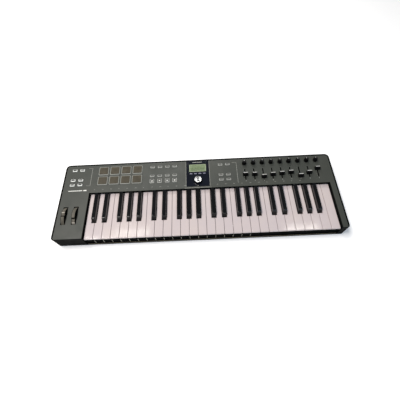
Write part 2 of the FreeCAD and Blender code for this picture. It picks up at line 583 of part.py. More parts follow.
def make_strips():
    """Nine channel strips, each an endless knob above a short-throw fader."""
    housings, pots = [], []
    knob_low = "panel_top + knob_lift"
    knob_high = "panel_top + knob_height"
    profile = (("0", "shaft_bottom"), ("shaft_radius", "shaft_bottom"), ("shaft_radius", knob_low),
               ("knob_radius", knob_low), ("knob_radius", f"{knob_low} + 1.5"),
               ("knob_top_radius", f"{knob_high} - 0.8"), ("knob_top_radius - 0.8", knob_high), ("0", knob_high))
    for index in range(STRIPS):
        x = strip_x(index)
        keep(f"knob_{index + 1}", turned(f"knob_{index + 1}", x, "key_front + knob_y", profile))
        housings.append(encoder_housing(x, "key_front + knob_y", "panel_top - 1.2"))
        y = f"key_front + {FADER_PLACES[index]}"
        low = "panel_top + fader_lift"
        cap = taper("fader_top", x, f"{y} - cap_y / 2", f"{y} + cap_y / 2", low, f"{low} + fader_height", "cap_x",
                    "cap_top_x", "(cap_y - cap_top_y) / 2", "(cap_y - cap_top_y) / 2")
        lever = centred_box("fader_lever", x, y, "lever_x", "lever_y", "lever_bottom", f"{low} + 1")
        keep(f"fader_cap_{index + 1}", fuse(f"fader_cap_{index + 1}", [cap, lever]))
        middle = "key_front + (slot_front + slot_back) / 2"
        can = centred_box("pot_can", x, middle, "pot_x", "pot_y", "board_top", "board_top + pot_height")
        track = centred_box("pot_track", x, middle, "pot_slot", "slot_back - slot_front", "board_top + 0.9",
                            "board_top + pot_height + 1")
        pots.append(cut("slide_pot", can, [track]))
    keep("slide_pots", group("slide_pots", pots))
    housings.append(encoder_housing("dial_x", "key_front + dial_y", "bezel_top - 0.4"))
    keep("rotary_encoders", group("rotary_encoders", housings))
    dial_low = "bezel_top + knob_lift"
    dial_high = "panel_top + dial_height"
    profile = (("0", "shaft_bottom"), ("shaft_radius", "shaft_bottom"), ("shaft_radius", dial_low),
               ("dial_radius", dial_low), ("dial_radius", f"{dial_high} - 1.2"),
               ("dial_radius - 1.2", dial_high), ("0", dial_high))
    keep("main_dial", turned("main_dial", "dial_x", "key_front + dial_y", profile))


def encoder_housing(x, y, bush_top):
    housing = centred_box("encoder_can", x, y, "encoder_side", "encoder_side", "board_top",
                          "board_top + encoder_height")
    bush = cylinder("encoder_bush", (x, y, "board_top + 1"), "bush_radius", f"{bush_top} - board_top - 1")
    bore = cylinder("encoder_bore", (x, y, "board_top + 0.3"), "shaft_radius + shaft_play", "panel_top")
    return cut("encoder_housing", fuse("encoder_body", [housing, bush]), [bore])


def make_wheels():
    """Two finger wheels: pies with a rim that always fills their slots, on stub axles in one bracket."""
    along = Rotation(Vector(0, 1, 0), 90)
    ears, holes = [], []
    for name, (x, back_end, lean) in WHEELS.items():
        centre = f"keys_left + {x}"
        turn = along.multiply(Rotation(Vector(0, 0, 1), 180 - back_end))
        pie = cylinder(f"{name}_pie", (f"{centre} - wheel_width / 2", "wheel_y", "wheel_z"), "wheel_radius",
                       "wheel_width", turn, RIM_SWEEP)
        hub = cylinder(f"{name}_hub", (f"{centre} - wheel_width / 2", "wheel_y", "wheel_z"), "wheel_hub",
                       "wheel_width", along)
        axle = cylinder(f"{name}_axle", (f"{centre} - axle_half", "wheel_y", "wheel_z"), "axle_radius",
                        "2 * axle_half", along)
        reach = value("wheel_radius + dent_lift")
        dent_at = Rotation(Vector(1, 0, 0), lean).multVec(Vector(0, 0, reach))
        dent = cylinder(f"{name}_dent", (f"{centre} - wheel_width / 2 - 1", f"wheel_y + {dent_at.y}",
                                         f"wheel_z + {dent_at.z}"), "dent_radius", "wheel_width + 2", along)
        keep(name, fuse(name, [cut(f"{name}_disc", pie, [dent]), hub, axle]))
        for side in (-1, 1):
            ears.append(box("ear", (f"{centre} + {side} * (ear_gap + ear_thickness / 2) - ear_thickness / 2",
                                    "wheel_y - ear_half", "floor_top"),
                            ("ear_thickness", "2 * ear_half", "wheel_z + ear_rise - floor_top")))
        holes.append(cylinder("ear_hole", (f"{centre} - axle_half - 1", "wheel_y", "wheel_z"),
                              "axle_radius + axle_play", "2 * axle_half + 2", along))
    ear_reach = "ear_gap + ear_thickness + bracket_margin"
    base = box("bracket_base", (f"keys_left + pitch_x - ({ear_reach})", "wheel_y - bracket_half", "floor_top"),
               (f"mod_x - pitch_x + 2 * ({ear_reach})", "2 * bracket_half", "bracket_base"))
    keep("wheel_bracket", cut("wheel_bracket", fuse("bracket_body", [base] + ears), holes))


def make_boards():
    keep("control_board", box("control_board", ("keys_left + control_board_left", "key_front + control_board_front",
                                                "control_board_z"),
                              ("control_board_right - control_board_left",
                               "control_board_back - control_board_front", "board_thickness")))
    keep("main_board", box("main_board", ("main_board_left", "case_depth / 2 - main_board_back - main_board_depth",
                                          "main_board_z"),
                           ("main_board_width", "main_board_depth", "board_thickness")))


make_top_case()
make_bottom_case()
make_sockets()
make_screws_and_feet()
make_keybed()
make_keys()
make_display()
make_keypads()
make_pads()
make_strips()
make_wheels()
make_boards()
doc.recompute()

faults = [thing.Name for thing in doc.Objects if "Invalid" in thing.State or "Error" in thing.State]
faults += [thing.Label for thing in pieces if thing.Shape.isNull() or not thing.Shape.isValid()]
if faults:
    raise RuntimeError(f"failed objects: {faults}")
os.makedirs("parts", exist_ok=True)
for thing in pieces:
    thing.Shape.exportStep(f"parts/{thing.Label}.step")
print(len(pieces), "pieces,", sum(len(thing.Shape.Solids) for thing in pieces), "solids")
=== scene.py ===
"""A 49-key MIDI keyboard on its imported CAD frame: keys, pads, keypads, knobs, faders, wheels, display."""
import json
import math

import bmesh
import bpy
from mathutils import Matrix, Vector


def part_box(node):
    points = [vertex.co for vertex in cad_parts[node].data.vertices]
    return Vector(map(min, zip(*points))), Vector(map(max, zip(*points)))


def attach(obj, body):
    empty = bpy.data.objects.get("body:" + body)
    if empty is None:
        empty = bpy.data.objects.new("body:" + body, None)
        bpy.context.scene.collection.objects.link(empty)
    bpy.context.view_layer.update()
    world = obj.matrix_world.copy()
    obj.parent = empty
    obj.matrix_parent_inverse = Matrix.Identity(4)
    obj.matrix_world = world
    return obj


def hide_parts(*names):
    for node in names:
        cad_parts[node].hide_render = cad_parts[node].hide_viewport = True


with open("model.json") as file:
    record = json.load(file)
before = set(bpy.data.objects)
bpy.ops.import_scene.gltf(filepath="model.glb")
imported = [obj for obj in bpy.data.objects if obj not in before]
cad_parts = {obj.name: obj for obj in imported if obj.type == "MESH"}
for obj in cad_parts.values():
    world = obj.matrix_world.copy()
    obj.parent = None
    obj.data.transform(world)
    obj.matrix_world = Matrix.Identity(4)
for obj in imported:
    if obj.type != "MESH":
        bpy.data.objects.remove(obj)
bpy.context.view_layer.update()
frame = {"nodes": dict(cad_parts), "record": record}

MM = 0.001
NODES = frame["nodes"]


# ---- places, from the frame

KEY_GAP = 0.9 * MM
WHITES = 29
OCTAVES = 4
BLACK_SHIFTS = {0: -2.5 * MM, 1: 2.5 * MM, 3: -3.2 * MM, 4: 0.0, 5: 3.2 * MM}
COMBS = {"white_comb_ceg": (0, 2, 4, 6), "white_comb_dfa": (1, 3, 5)}

first_low, first_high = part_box("white_comb_ceg_1")
last_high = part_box("white_comb_ceg_4")[1]
KEYS_LEFT = first_low.x - KEY_GAP / 2
PITCH = (last_high.x + KEY_GAP / 2 - KEYS_LEFT) / WHITES
KEY_FRONT = first_low.y
KEY_TOP = first_high.z
BLACK_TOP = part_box("black_comb_1")[1].z
CASE_LOW, CASE_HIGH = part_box("top_case")
PANEL_TOP = CASE_HIGH.z
PANEL_FRONT = KEY_FRONT + 136 * MM
BEZEL_LOW, BEZEL_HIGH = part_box("display_bezel")
CORNER = 13 * MM
BAND_INSET = 0.6 * MM
BAND_WIDTH = 4.4 * MM
BAND_STEPS = 8
FRONT_CORNER = 7 * MM
SKIN_DEPTH = 0.01 * MM
# ribs after this one take painted shade instead of the painted highlight
LAST_PAINTED_LIGHT_GUIDE = 19
SHADE_LINE_SPAN = 3
HIGHLIGHT_SPAN = 3.5
RIM_DROP = 0.4 * MM
UPWARD = 0.7
WELD_REACH = 0.002 * MM
CREASE_ANGLE = 32
SHARP_ANGLE = 38
FLAT_ANGLE = 0.8


def plan_centre(low, high):
    return (low.x + high.x) / 2, (low.y + high.y) / 2


def plan_size(low, high):
    return high.x - low.x, high.y - low.y


# ---- materials

def srgb(red, green, blue):
    """Linear colour of an 0 to 255 screen colour."""
    shares = [level / 255 for level in (red, green, blue)]
    return tuple(s / 12.92 if s <= 0.04045 else ((s + 0.055) / 1.055) ** 2.4 for s in shares) + (1.0,)


class Surface:
    """A material built from the object's own coordinates."""

    def __init__(self, color, roughness, **sockets):
        self.material = bpy.data.materials.new("surface")
        self.material.use_nodes = True
        self.tree = self.material.node_tree
        self.shader = self.tree.nodes["Principled BSDF"]
        self.shader.inputs["Base Color"].default_value = color
        self.shader.inputs["Roughness"].default_value = roughness
        for socket, level in sockets.items():
            self.shader.inputs[socket.replace("_", " ")].default_value = level
        self.coordinates = self.tree.nodes.new("ShaderNodeTexCoord").outputs["Object"]
        self.height = None

    def node(self, kind, inputs=(), **settings):
        made = self.tree.nodes.new(kind)
        for setting, level in settings.items():
            setattr(made, setting, level)
        for socket, level in dict(inputs).items():
            if isinstance(level, bpy.types.NodeSocket):
                self.tree.links.new(level, made.inputs[socket])
            else:
                made.inputs[socket].default_value = level
        return made

    def noise(self, scale, detail=3.0, stretch=(1, 1, 1)):
        place = self.node("ShaderNodeMapping", {"Vector": self.coordinates, "Scale": stretch})
        inputs = {"Vector": place.outputs[0], "Scale": scale, "Detail": detail}
        return self.node("ShaderNodeTexNoise", inputs).outputs[0]

    def spread(self, source, low, high, start=0.3, stop=0.7):
        span = {"Value": source, "From Min": start, "From Max": stop, "To Min": low, "To Max": high}
        return self.node("ShaderNodeMapRange", span).outputs[0]

    def rough(self, source, low, high):
        self.tree.links.new(self.spread(source, low, high), self.shader.inputs["Roughness"])
        return self

    def tint(self, source, first, second, start=0.35, stop=0.65):
        blend = self.node("ShaderNodeMix", data_type="RGBA")
        self.tree.links.new(self.spread(source, 0.0, 1.0, start, stop), blend.inputs[0])
        blend.inputs[6].default_value = first
        blend.inputs[7].default_value = second
        self.tree.links.new(blend.outputs[2], self.shader.inputs["Base Color"])
        return self

    def bump(self, source, distance, strength=1.0):
        inputs = {"Height": source, "Distance": distance, "Strength": strength}
        if self.height is not None:
            inputs["Normal"] = self.height
        self.height = self.node("ShaderNodeBump", inputs).outputs[0]
        self.tree.links.new(self.height, self.shader.inputs["Normal"])
        return self


def moulded(color, worn, roughness, grain=2600, shine=0.5):
    """Matt moulded plastic: fine spark-eroded grain, faint handling marks and slightly paler rubbed areas."""
    surface = Surface(color, roughness, Specular_IOR_Level=shine)
    surface.tint(surface.noise(9, 4), color, worn, 0.42, 0.75)
    surface.rough(surface.noise(38, 5), roughness - 0.06, roughness + 0.08)
    surface.bump(surface.noise(grain, 2), 0.04 * MM, 0.55)
    return surface.material


def glossy(color, shade, roughness, coat=0.0, ripple=0.012 * MM, shine=0.5):
    """Polished moulding: soft sink-mark ripple, hairline scratches and a roughness that varies with touch."""
    surface = Surface(color, roughness, Coat_Weight=coat, Coat_Roughness=0.04, Specular_IOR_Level=shine)
    surface.tint(surface.noise(14, 3), color, shade, 0.35, 0.8)
    surface.rough(surface.noise(60, 6), roughness * 0.75, roughness * 1.5)
    surface.bump(surface.noise(70, 2), ripple, 0.35)
    surface.bump(surface.noise(900, 1, (1, 0.06, 1)), ripple * 0.3, 0.2)
    return surface.material


def rubbery(color, shade, roughness=0.62, grain=1500, sheen=0.08, shine=0.3):
    """Silicone rubber: a soft sheen, fine pits and dust-like mottling."""
    surface = Surface(color, roughness, Sheen_Weight=sheen, Sheen_Roughness=0.5, Specular_IOR_Level=shine)
    surface.tint(surface.noise(55, 5), color, shade)
    surface.rough(surface.noise(120, 4), roughness - 0.08, roughness + 0.1)
    surface.bump(surface.noise(grain, 3), 0.05 * MM, 0.6)
    return surface.material


def metal(color, roughness, grain=900):
    """Bare metal with a fine tumbled grain."""
    surface = Surface(color, roughness, Metallic=1.0)
    surface.rough(surface.noise(grain, 3), roughness * 0.7, roughness * 1.4)
    surface.bump(surface.noise(grain, 2), 0.01 * MM, 0.4)
    return surface.material


def spun(color, roughness):
    """Spun metal: rings of fine tool marks about the piece's own axis, which spread its shine into a fan."""
    surface = Surface(color, roughness, Metallic=1.0, Anisotropic=0.8)
    around = surface.node("ShaderNodeTangent", direction_type="RADIAL", axis="Z")
    surface.tree.links.new(around.outputs[0], surface.shader.inputs["Tangent"])
    inputs = {"Vector": surface.coordinates, "Scale": 900, "Distortion": 0.6, "Detail": 3.0,
              "Detail Scale": 4.0}
    rings = surface.node("ShaderNodeTexWave", inputs, wave_type="RINGS", rings_direction="Z")
    surface.rough(surface.noise(400, 4), roughness * 0.8, roughness * 1.4)
    surface.bump(rings.outputs[0], 0.012 * MM, 0.5)
    return surface.material


def darker(color, share):
    return tuple(share * level for level in color[:3]) + (1.0,)


def printed(color, roughness=0.45):
    """Screen-printed ink, a little uneven."""
    surface = Surface(color, roughness)
    surface.tint(surface.noise(300, 3), color, darker(color, 0.85))
    surface.bump(surface.noise(3000, 2), 0.01 * MM, 0.3)
    return surface.material


def glow(color, strength):
    """Lit translucent plastic."""
    surface = Surface(color, 0.4, Emission_Color=color, Emission_Strength=strength)
    surface.tint(surface.noise(200, 3), color, darker(color, 0.8))
    surface.bump(surface.noise(1800, 2), 0.01 * MM, 0.3)
    return surface.material


def circuit():
    """Green solder mask over copper tracks."""
    mask, track = srgb(18, 60, 34), srgb(40, 96, 52)
    surface = Surface(mask, 0.35, Coat_Weight=0.4, Coat_Roughness=0.2)
    inputs = {"Vector": surface.coordinates, "Scale": 120, "Mortar Size": 0.03}
    tracks = surface.node("ShaderNodeTexBrick", inputs)
    surface.tint(tracks.outputs[1], mask, track, 0.2, 0.8)
    surface.bump(tracks.outputs[1], 0.03 * MM, 0.4)
    return surface.material


MATERIALS = {
    "case_top": moulded(srgb(54, 57, 52), srgb(62, 64, 58), 0.5, shine=0.42),
    # the case's own dark plastic on its walls, darkened further as painted shade on faces turned from the
    # light
    "case_wall_painted_shade": moulded(srgb(12, 14, 14), srgb(17, 19, 18), 0.5, shine=0.01),
    # the bottom shell's own dark plastic, darkened further as painted shade like the walls
    "case_bottom": moulded(srgb(11, 13, 13), srgb(17, 19, 18), 0.5, shine=0.01),
    "key_white": glossy(srgb(199, 187, 184), srgb(192, 181, 183), 0.1, 0.15, 0.008 * MM),
    "key_black": glossy(srgb(3, 4, 6), srgb(7, 8, 11), 0.09, shine=0.45),
    "bezel": glossy(srgb(12, 15, 24), srgb(17, 21, 31), 0.07, 0.0, 0.006 * MM, 0.35),
    # pale strips beside the display, and a painted highlight along the panel's front edge in front of it
    "pale_strip_highlight": moulded(srgb(120, 121, 114), srgb(136, 136, 129), 0.4, 3000),
    "legend": printed(srgb(238, 238, 232)),
    "legend_dim": printed(srgb(152, 153, 146)),
    "lit_white": glow(srgb(226, 228, 224), 0.3),
    "lit_grey": glow(srgb(164, 165, 160), 0.06),
    "lit_lilac": glow(srgb(118, 117, 134), 0.08),
    "cap_face": rubbery(srgb(72, 73, 69), srgb(84, 84, 80), 0.55),
    "cap_face_dark": rubbery(srgb(52, 54, 52), srgb(64, 64, 62), 0.55),
    "pad_face": rubbery(srgb(76, 70, 57), srgb(64, 59, 48), 0.75, 900),
    "pad_edge": rubbery(srgb(128, 130, 124), srgb(140, 141, 134), 0.5, 2000),
    "knob": rubbery(srgb(5, 5, 6), srgb(11, 11, 12), 0.5, 2200, 0.0, 0.12),
    "fader": moulded(srgb(6, 6, 7), srgb(12, 12, 13), 0.4, 2600, shine=0.18),
    "pointer": printed(srgb(214, 214, 209), 0.35),
    "dial": spun(srgb(196, 196, 196), 0.2),
    "wheel": rubbery(srgb(92, 87, 77), srgb(78, 74, 65), 0.5, 1600),
    # painted highlight on the wheels' treads by the finger dent
    "wheel_painted_highlight": rubbery(srgb(172, 166, 156), srgb(150, 144, 134), 0.42, 1600),
    "chassis": moulded(srgb(9, 10, 10), srgb(15, 15, 14), 0.6, shine=0.01),
    # painted light: the lit top of the case's front ledge, as a pale copy of the case plastic
    "ledge_painted_light": moulded(srgb(104, 98, 84), srgb(118, 112, 97), 0.5, 2400, shine=0.1),
    # painted highlight: light falling through the gaps between the white keys onto the ribs
    "guide_painted_light": moulded(srgb(150, 146, 134), srgb(136, 132, 122), 0.5, 2400, shine=0.1),
    "felt": rubbery(srgb(86, 22, 26), srgb(62, 13, 18), 0.95, 2600),
    "board": circuit(),
    "tin": metal(srgb(180, 180, 182), 0.32),
    "dome": rubbery(srgb(168, 168, 170), srgb(150, 150, 154)),
    "socket": moulded(srgb(14, 14, 15), srgb(26, 26, 26), 0.45),
    "screw": metal(srgb(120, 120, 124), 0.35, 1500),
    "foot": rubbery(srgb(24, 24, 24), srgb(36, 36, 35), 0.8, 1100),
    "screen_edge": glow(srgb(138, 150, 118), 0.05),
    "screen": glow(srgb(99, 116, 76), 0.05),
    "screen_ink": glow(srgb(72, 92, 50), 0.02),
    "screen_frame": moulded(srgb(10, 10, 12), srgb(16, 16, 18), 0.3),
}
for name, material in MATERIALS.items():
    material.name = name


# ---- mesh building

def rounded_ring(width, length, radius, steps=5):
    """Points of a rounded rectangle about the origin, counter-clockwise."""
    radius = min(radius, width / 2 - 1e-6, length / 2 - 1e-6)
    points = []
    for corner in range(4):
        side_x = 1 if corner in (0, 3) else -1
        side_y = 1 if corner in (0, 1) else -1
        for step in range(steps + 1):
            angle = math.radians(90 * (corner + step / steps))
            points.append((side_x * (width / 2 - radius) + radius * math.cos(angle),
                           side_y * (length / 2 - radius) + radius * math.sin(angle)))
    return points


class Form:
    """One piece's mesh, gathered from lofts, turned shapes, slabs and key shells."""

    def __init__(self):
        self.mesh = bmesh.new()
        self.weight = self.mesh.edges.layers.float.new("bevel_weight_edge")

    def face(self, corners, material, smooth=False):
        made = self.mesh.faces.new(corners)
        made.material_index = material
        made.smooth = smooth

    def ring(self, points):
        return [self.mesh.verts.new(point) for point in points]

    def skin(self, rings, materials, smooth=True, closed=False):
        """Quads between rings of vertices, with an n-gon at each end unless the rings close on themselves."""
        count = len(rings[0])
        pairs = list(zip(rings, rings[1:])) + ([(rings[-1], rings[0])] if closed else [])
        for level, (lower, upper) in enumerate(pairs):
            for index in range(count):
                after = (index + 1) % count
                self.face((lower[index], lower[after], upper[after], upper[index]), materials[level], smooth)
        if not closed:
            self.face(list(reversed(rings[0])), materials[0])
            self.face(rings[-1], materials[-1])

    def loft(self, x, y, rings, material=0):
        """Rounded rectangles (width, length, radius, z[, material[, shift]]) stacked about one centre. A
        shift moves a ring toward the back."""
        levels, materials = [], []
        for width, length, radius, z, *own in rings:
            points = rounded_ring(width, length, radius)
            back = own[1] if len(own) > 1 else 0
            levels.append(self.ring((x + across, y + back + along, z) for across, along in points))
            materials.append(own[0] if own else material)
        self.skin(levels, materials)

    def lathe(self, x, y, profile, material=0, sides=64, flute=0.0, flutes=0):
        """Rings (radius, z[, material[, ripple]]) about an upright axis, fluted by the share ripple."""
        levels, materials = [], []
        for radius, z, *own in profile:
            ripple = own[1] if len(own) > 1 else 0
            points = []
            for index in range(sides):
                angle = 2 * math.pi * index / sides
                reach = radius - ripple * flute * (0.5 + 0.5 * math.cos(flutes * angle))
                points.append((x + reach * math.cos(angle), y + reach * math.sin(angle), z))
            levels.append(self.ring(points))
            materials.append(own[0] if own else material)
        self.skin(levels, materials)

    def bar(self, start, stop, y, z, radius, material=0, sides=32):
        """A round bar along X."""
        angles = [2 * math.pi * index / sides for index in range(sides)]
        rings = [self.ring((x, y + radius * math.cos(a), z + radius * math.sin(a)) for a in angles)
                 for x in (start, stop)]
        self.skin(rings, [material])

    def slab(self, low, high, material=0):
        """A block between two corners."""
        x, y = (low[0] + high[0]) / 2, (low[1] + high[1]) / 2
        width, length = high[0] - low[0], high[1] - low[1]
        edge = min(0.3 * MM, width / 4, length / 4, (high[2] - low[2]) / 4)
        rings = [(width - 2 * edge, length - 2 * edge, edge, low[2]), (width, length, edge, low[2] + edge),
                 (width, length, edge, high[2] - edge), (width - 2 * edge, length - 2 * edge, edge, high[2])]
        self.loft(x, y, rings, material)

    def prism(self, points, bottom, top, material=0):
        """An upright block over a plan outline."""
        rings = [self.ring((px, py, z) for px, py in points) for z in (bottom, top)]
        self.skin(rings, [material], smooth=False)

    def finish(self, name, body, slot, materials, replaces=(), bevel=0.0, segments=2, at=(0, 0, 0)):
        """Turn the mesh into a named piece that rides on a body and may stand for CAD nodes."""
        bmesh.ops.recalc_face_normals(self.mesh, faces=self.mesh.faces)
        data = bpy.data.meshes.new(name)
        self.mesh.to_mesh(data)
        self.mesh.free()
        for material in materials:
            data.materials.append(MATERIALS[material])
        piece = bpy.data.objects.new(name, data)
        piece.location = at
        bpy.context.scene.collection.objects.link(piece)
        bpy.context.view_layer.update()
        if bevel:
            round_edges(piece, bevel, segments, "WEIGHT")
        data.set_sharp_from_angle(angle=math.radians(SHARP_ANGLE))
        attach(piece, body)
        if replaces:
            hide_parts(*replaces)


def drop_flipped(piece, low, high):
    """Remove the slivers that rounding a CAD node's edges has turned inside out on its box's flat sides."""
    tree = bpy.data.node_groups.new("drop_flipped", "GeometryNodeTree")
    for way in ("INPUT", "OUTPUT"):
        tree.interface.new_socket("Geometry", in_out=way, socket_type="NodeSocketGeometry")

    def vector(kind, *inputs, result="Vector"):
        node = tree.nodes.new("ShaderNodeVectorMath")
        node.operation = kind
        for index, value in enumerate(inputs):
            if isinstance(value, bpy.types.NodeSocket):
                tree.links.new(value, node.inputs[index])
            else:
                node.inputs[index].default_value = value
        return node.outputs[result]

    place = tree.nodes.new("GeometryNodeInputPosition").outputs[0]
    facing = tree.nodes.new("GeometryNodeInputNormal").outputs[0]
    off = vector("SUBTRACT", place, (low + high) / 2)
    beyond = vector("SUBTRACT", vector("ABSOLUTE", off), (high - low) / 2 - Vector([SKIN_DEPTH] * 3))
    skin = vector("SIGN", vector("MAXIMUM", beyond, (0, 0, 0)))
    outward = vector("DOT_PRODUCT", vector("MULTIPLY", skin, vector("SIGN", off)), facing, result="Value")
    inward = tree.nodes.new("ShaderNodeMath")
    inward.operation = "LESS_THAN"
    inward.inputs[1].default_value = -0.5
    delete = tree.nodes.new("GeometryNodeDeleteGeometry")
    delete.domain = "FACE"
    tree.links.new(outward, inward.inputs[0])
    tree.links.new(tree.nodes.new("NodeGroupInput").outputs[0], delete.inputs[0])
    tree.links.new(inward.outputs[0], delete.inputs[1])
    tree.links.new(delete.outputs[0], tree.nodes.new("NodeGroupOutput").inputs[0])
    piece.modifiers.new("cut", "TRIANGULATE")
    piece.modifiers.new("outsides", "NODES").node_group = tree


def round_edges(piece, width, segments=2, limit="ANGLE", box=None):
    """Round the edges that bend sharply or, with the limit WEIGHT, those that carry a weight."""
    bevel = piece.modifiers.new("rounded", "BEVEL")
    bevel.width = width
    bevel.segments = segments
    bevel.limit_method = limit
    bevel.angle_limit = math.radians(CREASE_ANGLE)
    bevel.use_clamp_overlap = False
    bevel.miter_outer = "MITER_ARC"
    if box:
        drop_flipped(piece, *box)
    piece.modifiers.new("normals", "WEIGHTED_NORMAL").keep_sharp = True


def dress(node, material, bevel=0.0, join=True):
    """Give a CAD node its finish, and join its flat facets or round its edges where that is asked."""
    piece = NODES[node]
    slots = piece.data.materials
    if len(slots):
        for index in range(len(slots)):
            slots[index] = MATERIALS[material]
    else:
        slots.append(MATERIALS[material])
    piece.modifiers.new("weld", "WELD").merge_threshold = WELD_REACH
    if join:
        flat = piece.modifiers.new("flat", "DECIMATE")
        flat.decimate_type = "DISSOLVE"
        flat.angle_limit = math.radians(FLAT_ANGLE)
    if bevel:
        round_edges(piece, bevel, box=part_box(node))


def paint_wall_shade(node, material):
    """Give the faces of a case node that aren't its panel's top the near-black wall material: the case's own
    dark plastic, darkened further as painted shade.
    """
    mesh = NODES[node].data
    mesh.materials.append(MATERIALS[material])
    for face in mesh.polygons:
        if face.center.z < PANEL_TOP - RIM_DROP or face.normal.z < UPWARD:
            face.material_index = len(mesh.materials) - 1


def welded(node):
    """A copy of a CAD node's mesh whose facets share their vertices."""
    mesh = bmesh.new()
    mesh.from_mesh(NODES[node].data)
    bmesh.ops.remove_doubles(mesh, verts=mesh.verts, dist=WELD_REACH)
    return mesh


def islands(waiting, neighbours):
    """Split a set of faces or vertices into the groups that hang together."""
    found = []
    while waiting:
        reach, island = [waiting.pop()], []
        while reach:
            one = reach.pop()
            island.append(one)
            beside = neighbours(one) & waiting
            waiting -= beside
            reach.extend(beside)
        found.append(island)
    return found


def top_faces(node):
    """Boxes (x, y, width, length, z) of the highest flat faces of a CAD node, from the front left on."""
    mesh = welded(node)
    top = max(vertex.co.z for vertex in mesh.verts)
    highest = {face for face in mesh.faces
               if all(abs(vertex.co.z - top) < SKIN_DEPTH for vertex in face.verts)}
    found = []
    for island in islands(highest, lambda face: {other for edge in face.edges for other in edge.link_faces}):
        xs = [vertex.co.x for face in island for vertex in face.verts]
        ys = [vertex.co.y for face in island for vertex in face.verts]
        x, y = (min(xs) + max(xs)) / 2, (min(ys) + max(ys)) / 2
        found.append((x, y, max(xs) - min(xs), max(ys) - min(ys), top))
    mesh.free()
    return sorted(found, key=lambda cap: (round(cap[1], 4), cap[0]))


def separate_parts(node):
    """Boxes around the loose parts of a CAD node, each as its low and high corner, from the left on."""
    mesh = welded(node)
    found = []
    for part in islands(set(mesh.verts), lambda one: {edge.other_vert(one) for edge in one.link_edges}):
        found.append([Vector([pick(vertex.co[axis] for vertex in part) for axis in range(3)])
                      for pick in (min, max)])
    mesh.free()
    return sorted(found, key=lambda part: (part[0].x, part[0].y))


# ---- keys

KEY_DEPTH = 5.0 * MM
KEY_SKIN = 2.0 * MM
KEY_SIDE = 1.4 * MM
TAIL_END = KEY_FRONT + 140.5 * MM
SHOULDER = KEY_FRONT + 46.5 * MM
BLACK_FRONT = KEY_FRONT + 48 * MM
BLACK_BACK = PANEL_FRONT - 0.8 * MM
BLACK_BASE = 12.5 * MM
BLACK_CROWN = 9.7 * MM
BLACK_SLOPE = 7.5 * MM
BLACK_ROOM = 14 * MM
ARM_HALF = 4 * MM
ARM_BOTTOM = 32 * MM
ARM_TOP = 37.7 * MM
PIVOT_Z = 27 * MM
PIVOT_RADIUS = 3 * MM
WHITE_ROUND = 1.3 * MM
BLACK_ROUND = 1.5 * MM


def black_centre(octave, step):
    """Where the middle of a black key lies across the keyboard."""
    return KEYS_LEFT + (7 * octave + step + 1) * PITCH + BLACK_SHIFTS[step]


def tail_edges(number):
    """Left and right edges of a white key's tail."""
    octave, step = divmod(number, 7)
    left = KEYS_LEFT + number * PITCH + KEY_GAP / 2
    right = left + PITCH - KEY_GAP
    if number and step - 1 in BLACK_SHIFTS:
        left = black_centre(octave, step - 1) + BLACK_ROOM / 2
    if number < WHITES - 1 and step in BLACK_SHIFTS:
        right = black_centre(octave, step) - BLACK_ROOM / 2
    return left, right


def hollow_shell(form, outline, bottom, top, crown=None):
    """A moulding open below: outer walls up to its crown, and a hollow inside them."""
    crown = crown or outline
    count = len(outline)
    inner = []
    for index in range(count):
        before, here, after = (Vector(outline[(index + shift) % count]) for shift in (-1, 0, 1))
        into, out = (here - before).normalized(), (after - here).normalized()
        inner.append(here + KEY_SIDE * (Vector((-into.y, into.x)) + Vector((-out.y, out.x))))
    centre = sum((Vector(point) for point in crown), Vector((0, 0))) / count
    levels = []
    for points, z in ((crown, top), (outline, bottom), (inner, bottom)):
        levels.append(form.ring((point[0], point[1], z) for point in points))
    if crown is outline:
        roof = inner
    else:
        roof = [Vector(point) + (centre - Vector(point)).normalized() * KEY_SIDE * 1.6 for point in crown]
    levels.append(form.ring((point[0], point[1], top - KEY_SKIN) for point in roof))
    form.skin(levels, [0, 0, 0])
    return levels


def set_weight(form, first, second, level):
    """Say how strongly the edge between two vertices is rounded."""
    edge = form.mesh.edges.get((first, second))
    if edge:
        edge[form.weight] = level


def white_key(number, node, name):
    """A hollow white key: a wide head, and a tail that leaves room for the black keys beside it."""
    left = KEYS_LEFT + number * PITCH + KEY_GAP / 2
    right = left + PITCH - KEY_GAP
    tail_left, tail_right = tail_edges(number)
    outline = [(left, KEY_FRONT), (right, KEY_FRONT)]
    if tail_right < right - MM:
        outline += [(right, SHOULDER), (tail_right, SHOULDER)]
    outline.append((tail_right, TAIL_END))
    outline.append((tail_left, TAIL_END))
    if tail_left > left + MM:
        outline += [(tail_left, SHOULDER), (left, SHOULDER)]
    form = Form()
    crown, lip, *_ = hollow_shell(form, outline, KEY_TOP - KEY_DEPTH, KEY_TOP)
    count = len(outline)
    for index in range(count):
        set_weight(form, crown[index], crown[(index + 1) % count], 0.55)
        set_weight(form, lip[index], lip[(index + 1) % count], 0.2)
        set_weight(form, crown[index], lip[index], 0.3)
    set_weight(form, crown[0], crown[1], 1.0)
    for corner in (0, 1):
        set_weight(form, crown[corner], lip[corner], 0.6)
    form.finish(name, node, "key_white", ["key_white"], bevel=WHITE_ROUND, segments=4)


def black_key(octave, step, node, name):
    """A hollow black key that narrows upward, with a sloping front."""
    x = black_centre(octave, step)
    base, half = BLACK_BASE / 2, BLACK_CROWN / 2
    sloped = BLACK_FRONT + BLACK_SLOPE
    outline, crown = (
        [(x - reach, front), (x + reach, front), (x + reach, BLACK_BACK), (x - reach, BLACK_BACK)]
        for reach, front in ((base, BLACK_FRONT), (half, sloped)))
    form = Form()
    upper, lower, *_ = hollow_shell(form, outline, KEY_TOP - 3 * MM, BLACK_TOP, crown)
    for index in range(4):
        set_weight(form, upper[index], upper[(index + 1) % 4], 1.0 if index != 2 else 0.2)
        set_weight(form, lower[index], lower[(index + 1) % 4], 0.15)
    for corner in (0, 1):
        set_weight(form, upper[corner], lower[corner], 0.9)
    form.finish(name, node, "key_black", ["key_black"], bevel=BLACK_ROUND, segments=5)


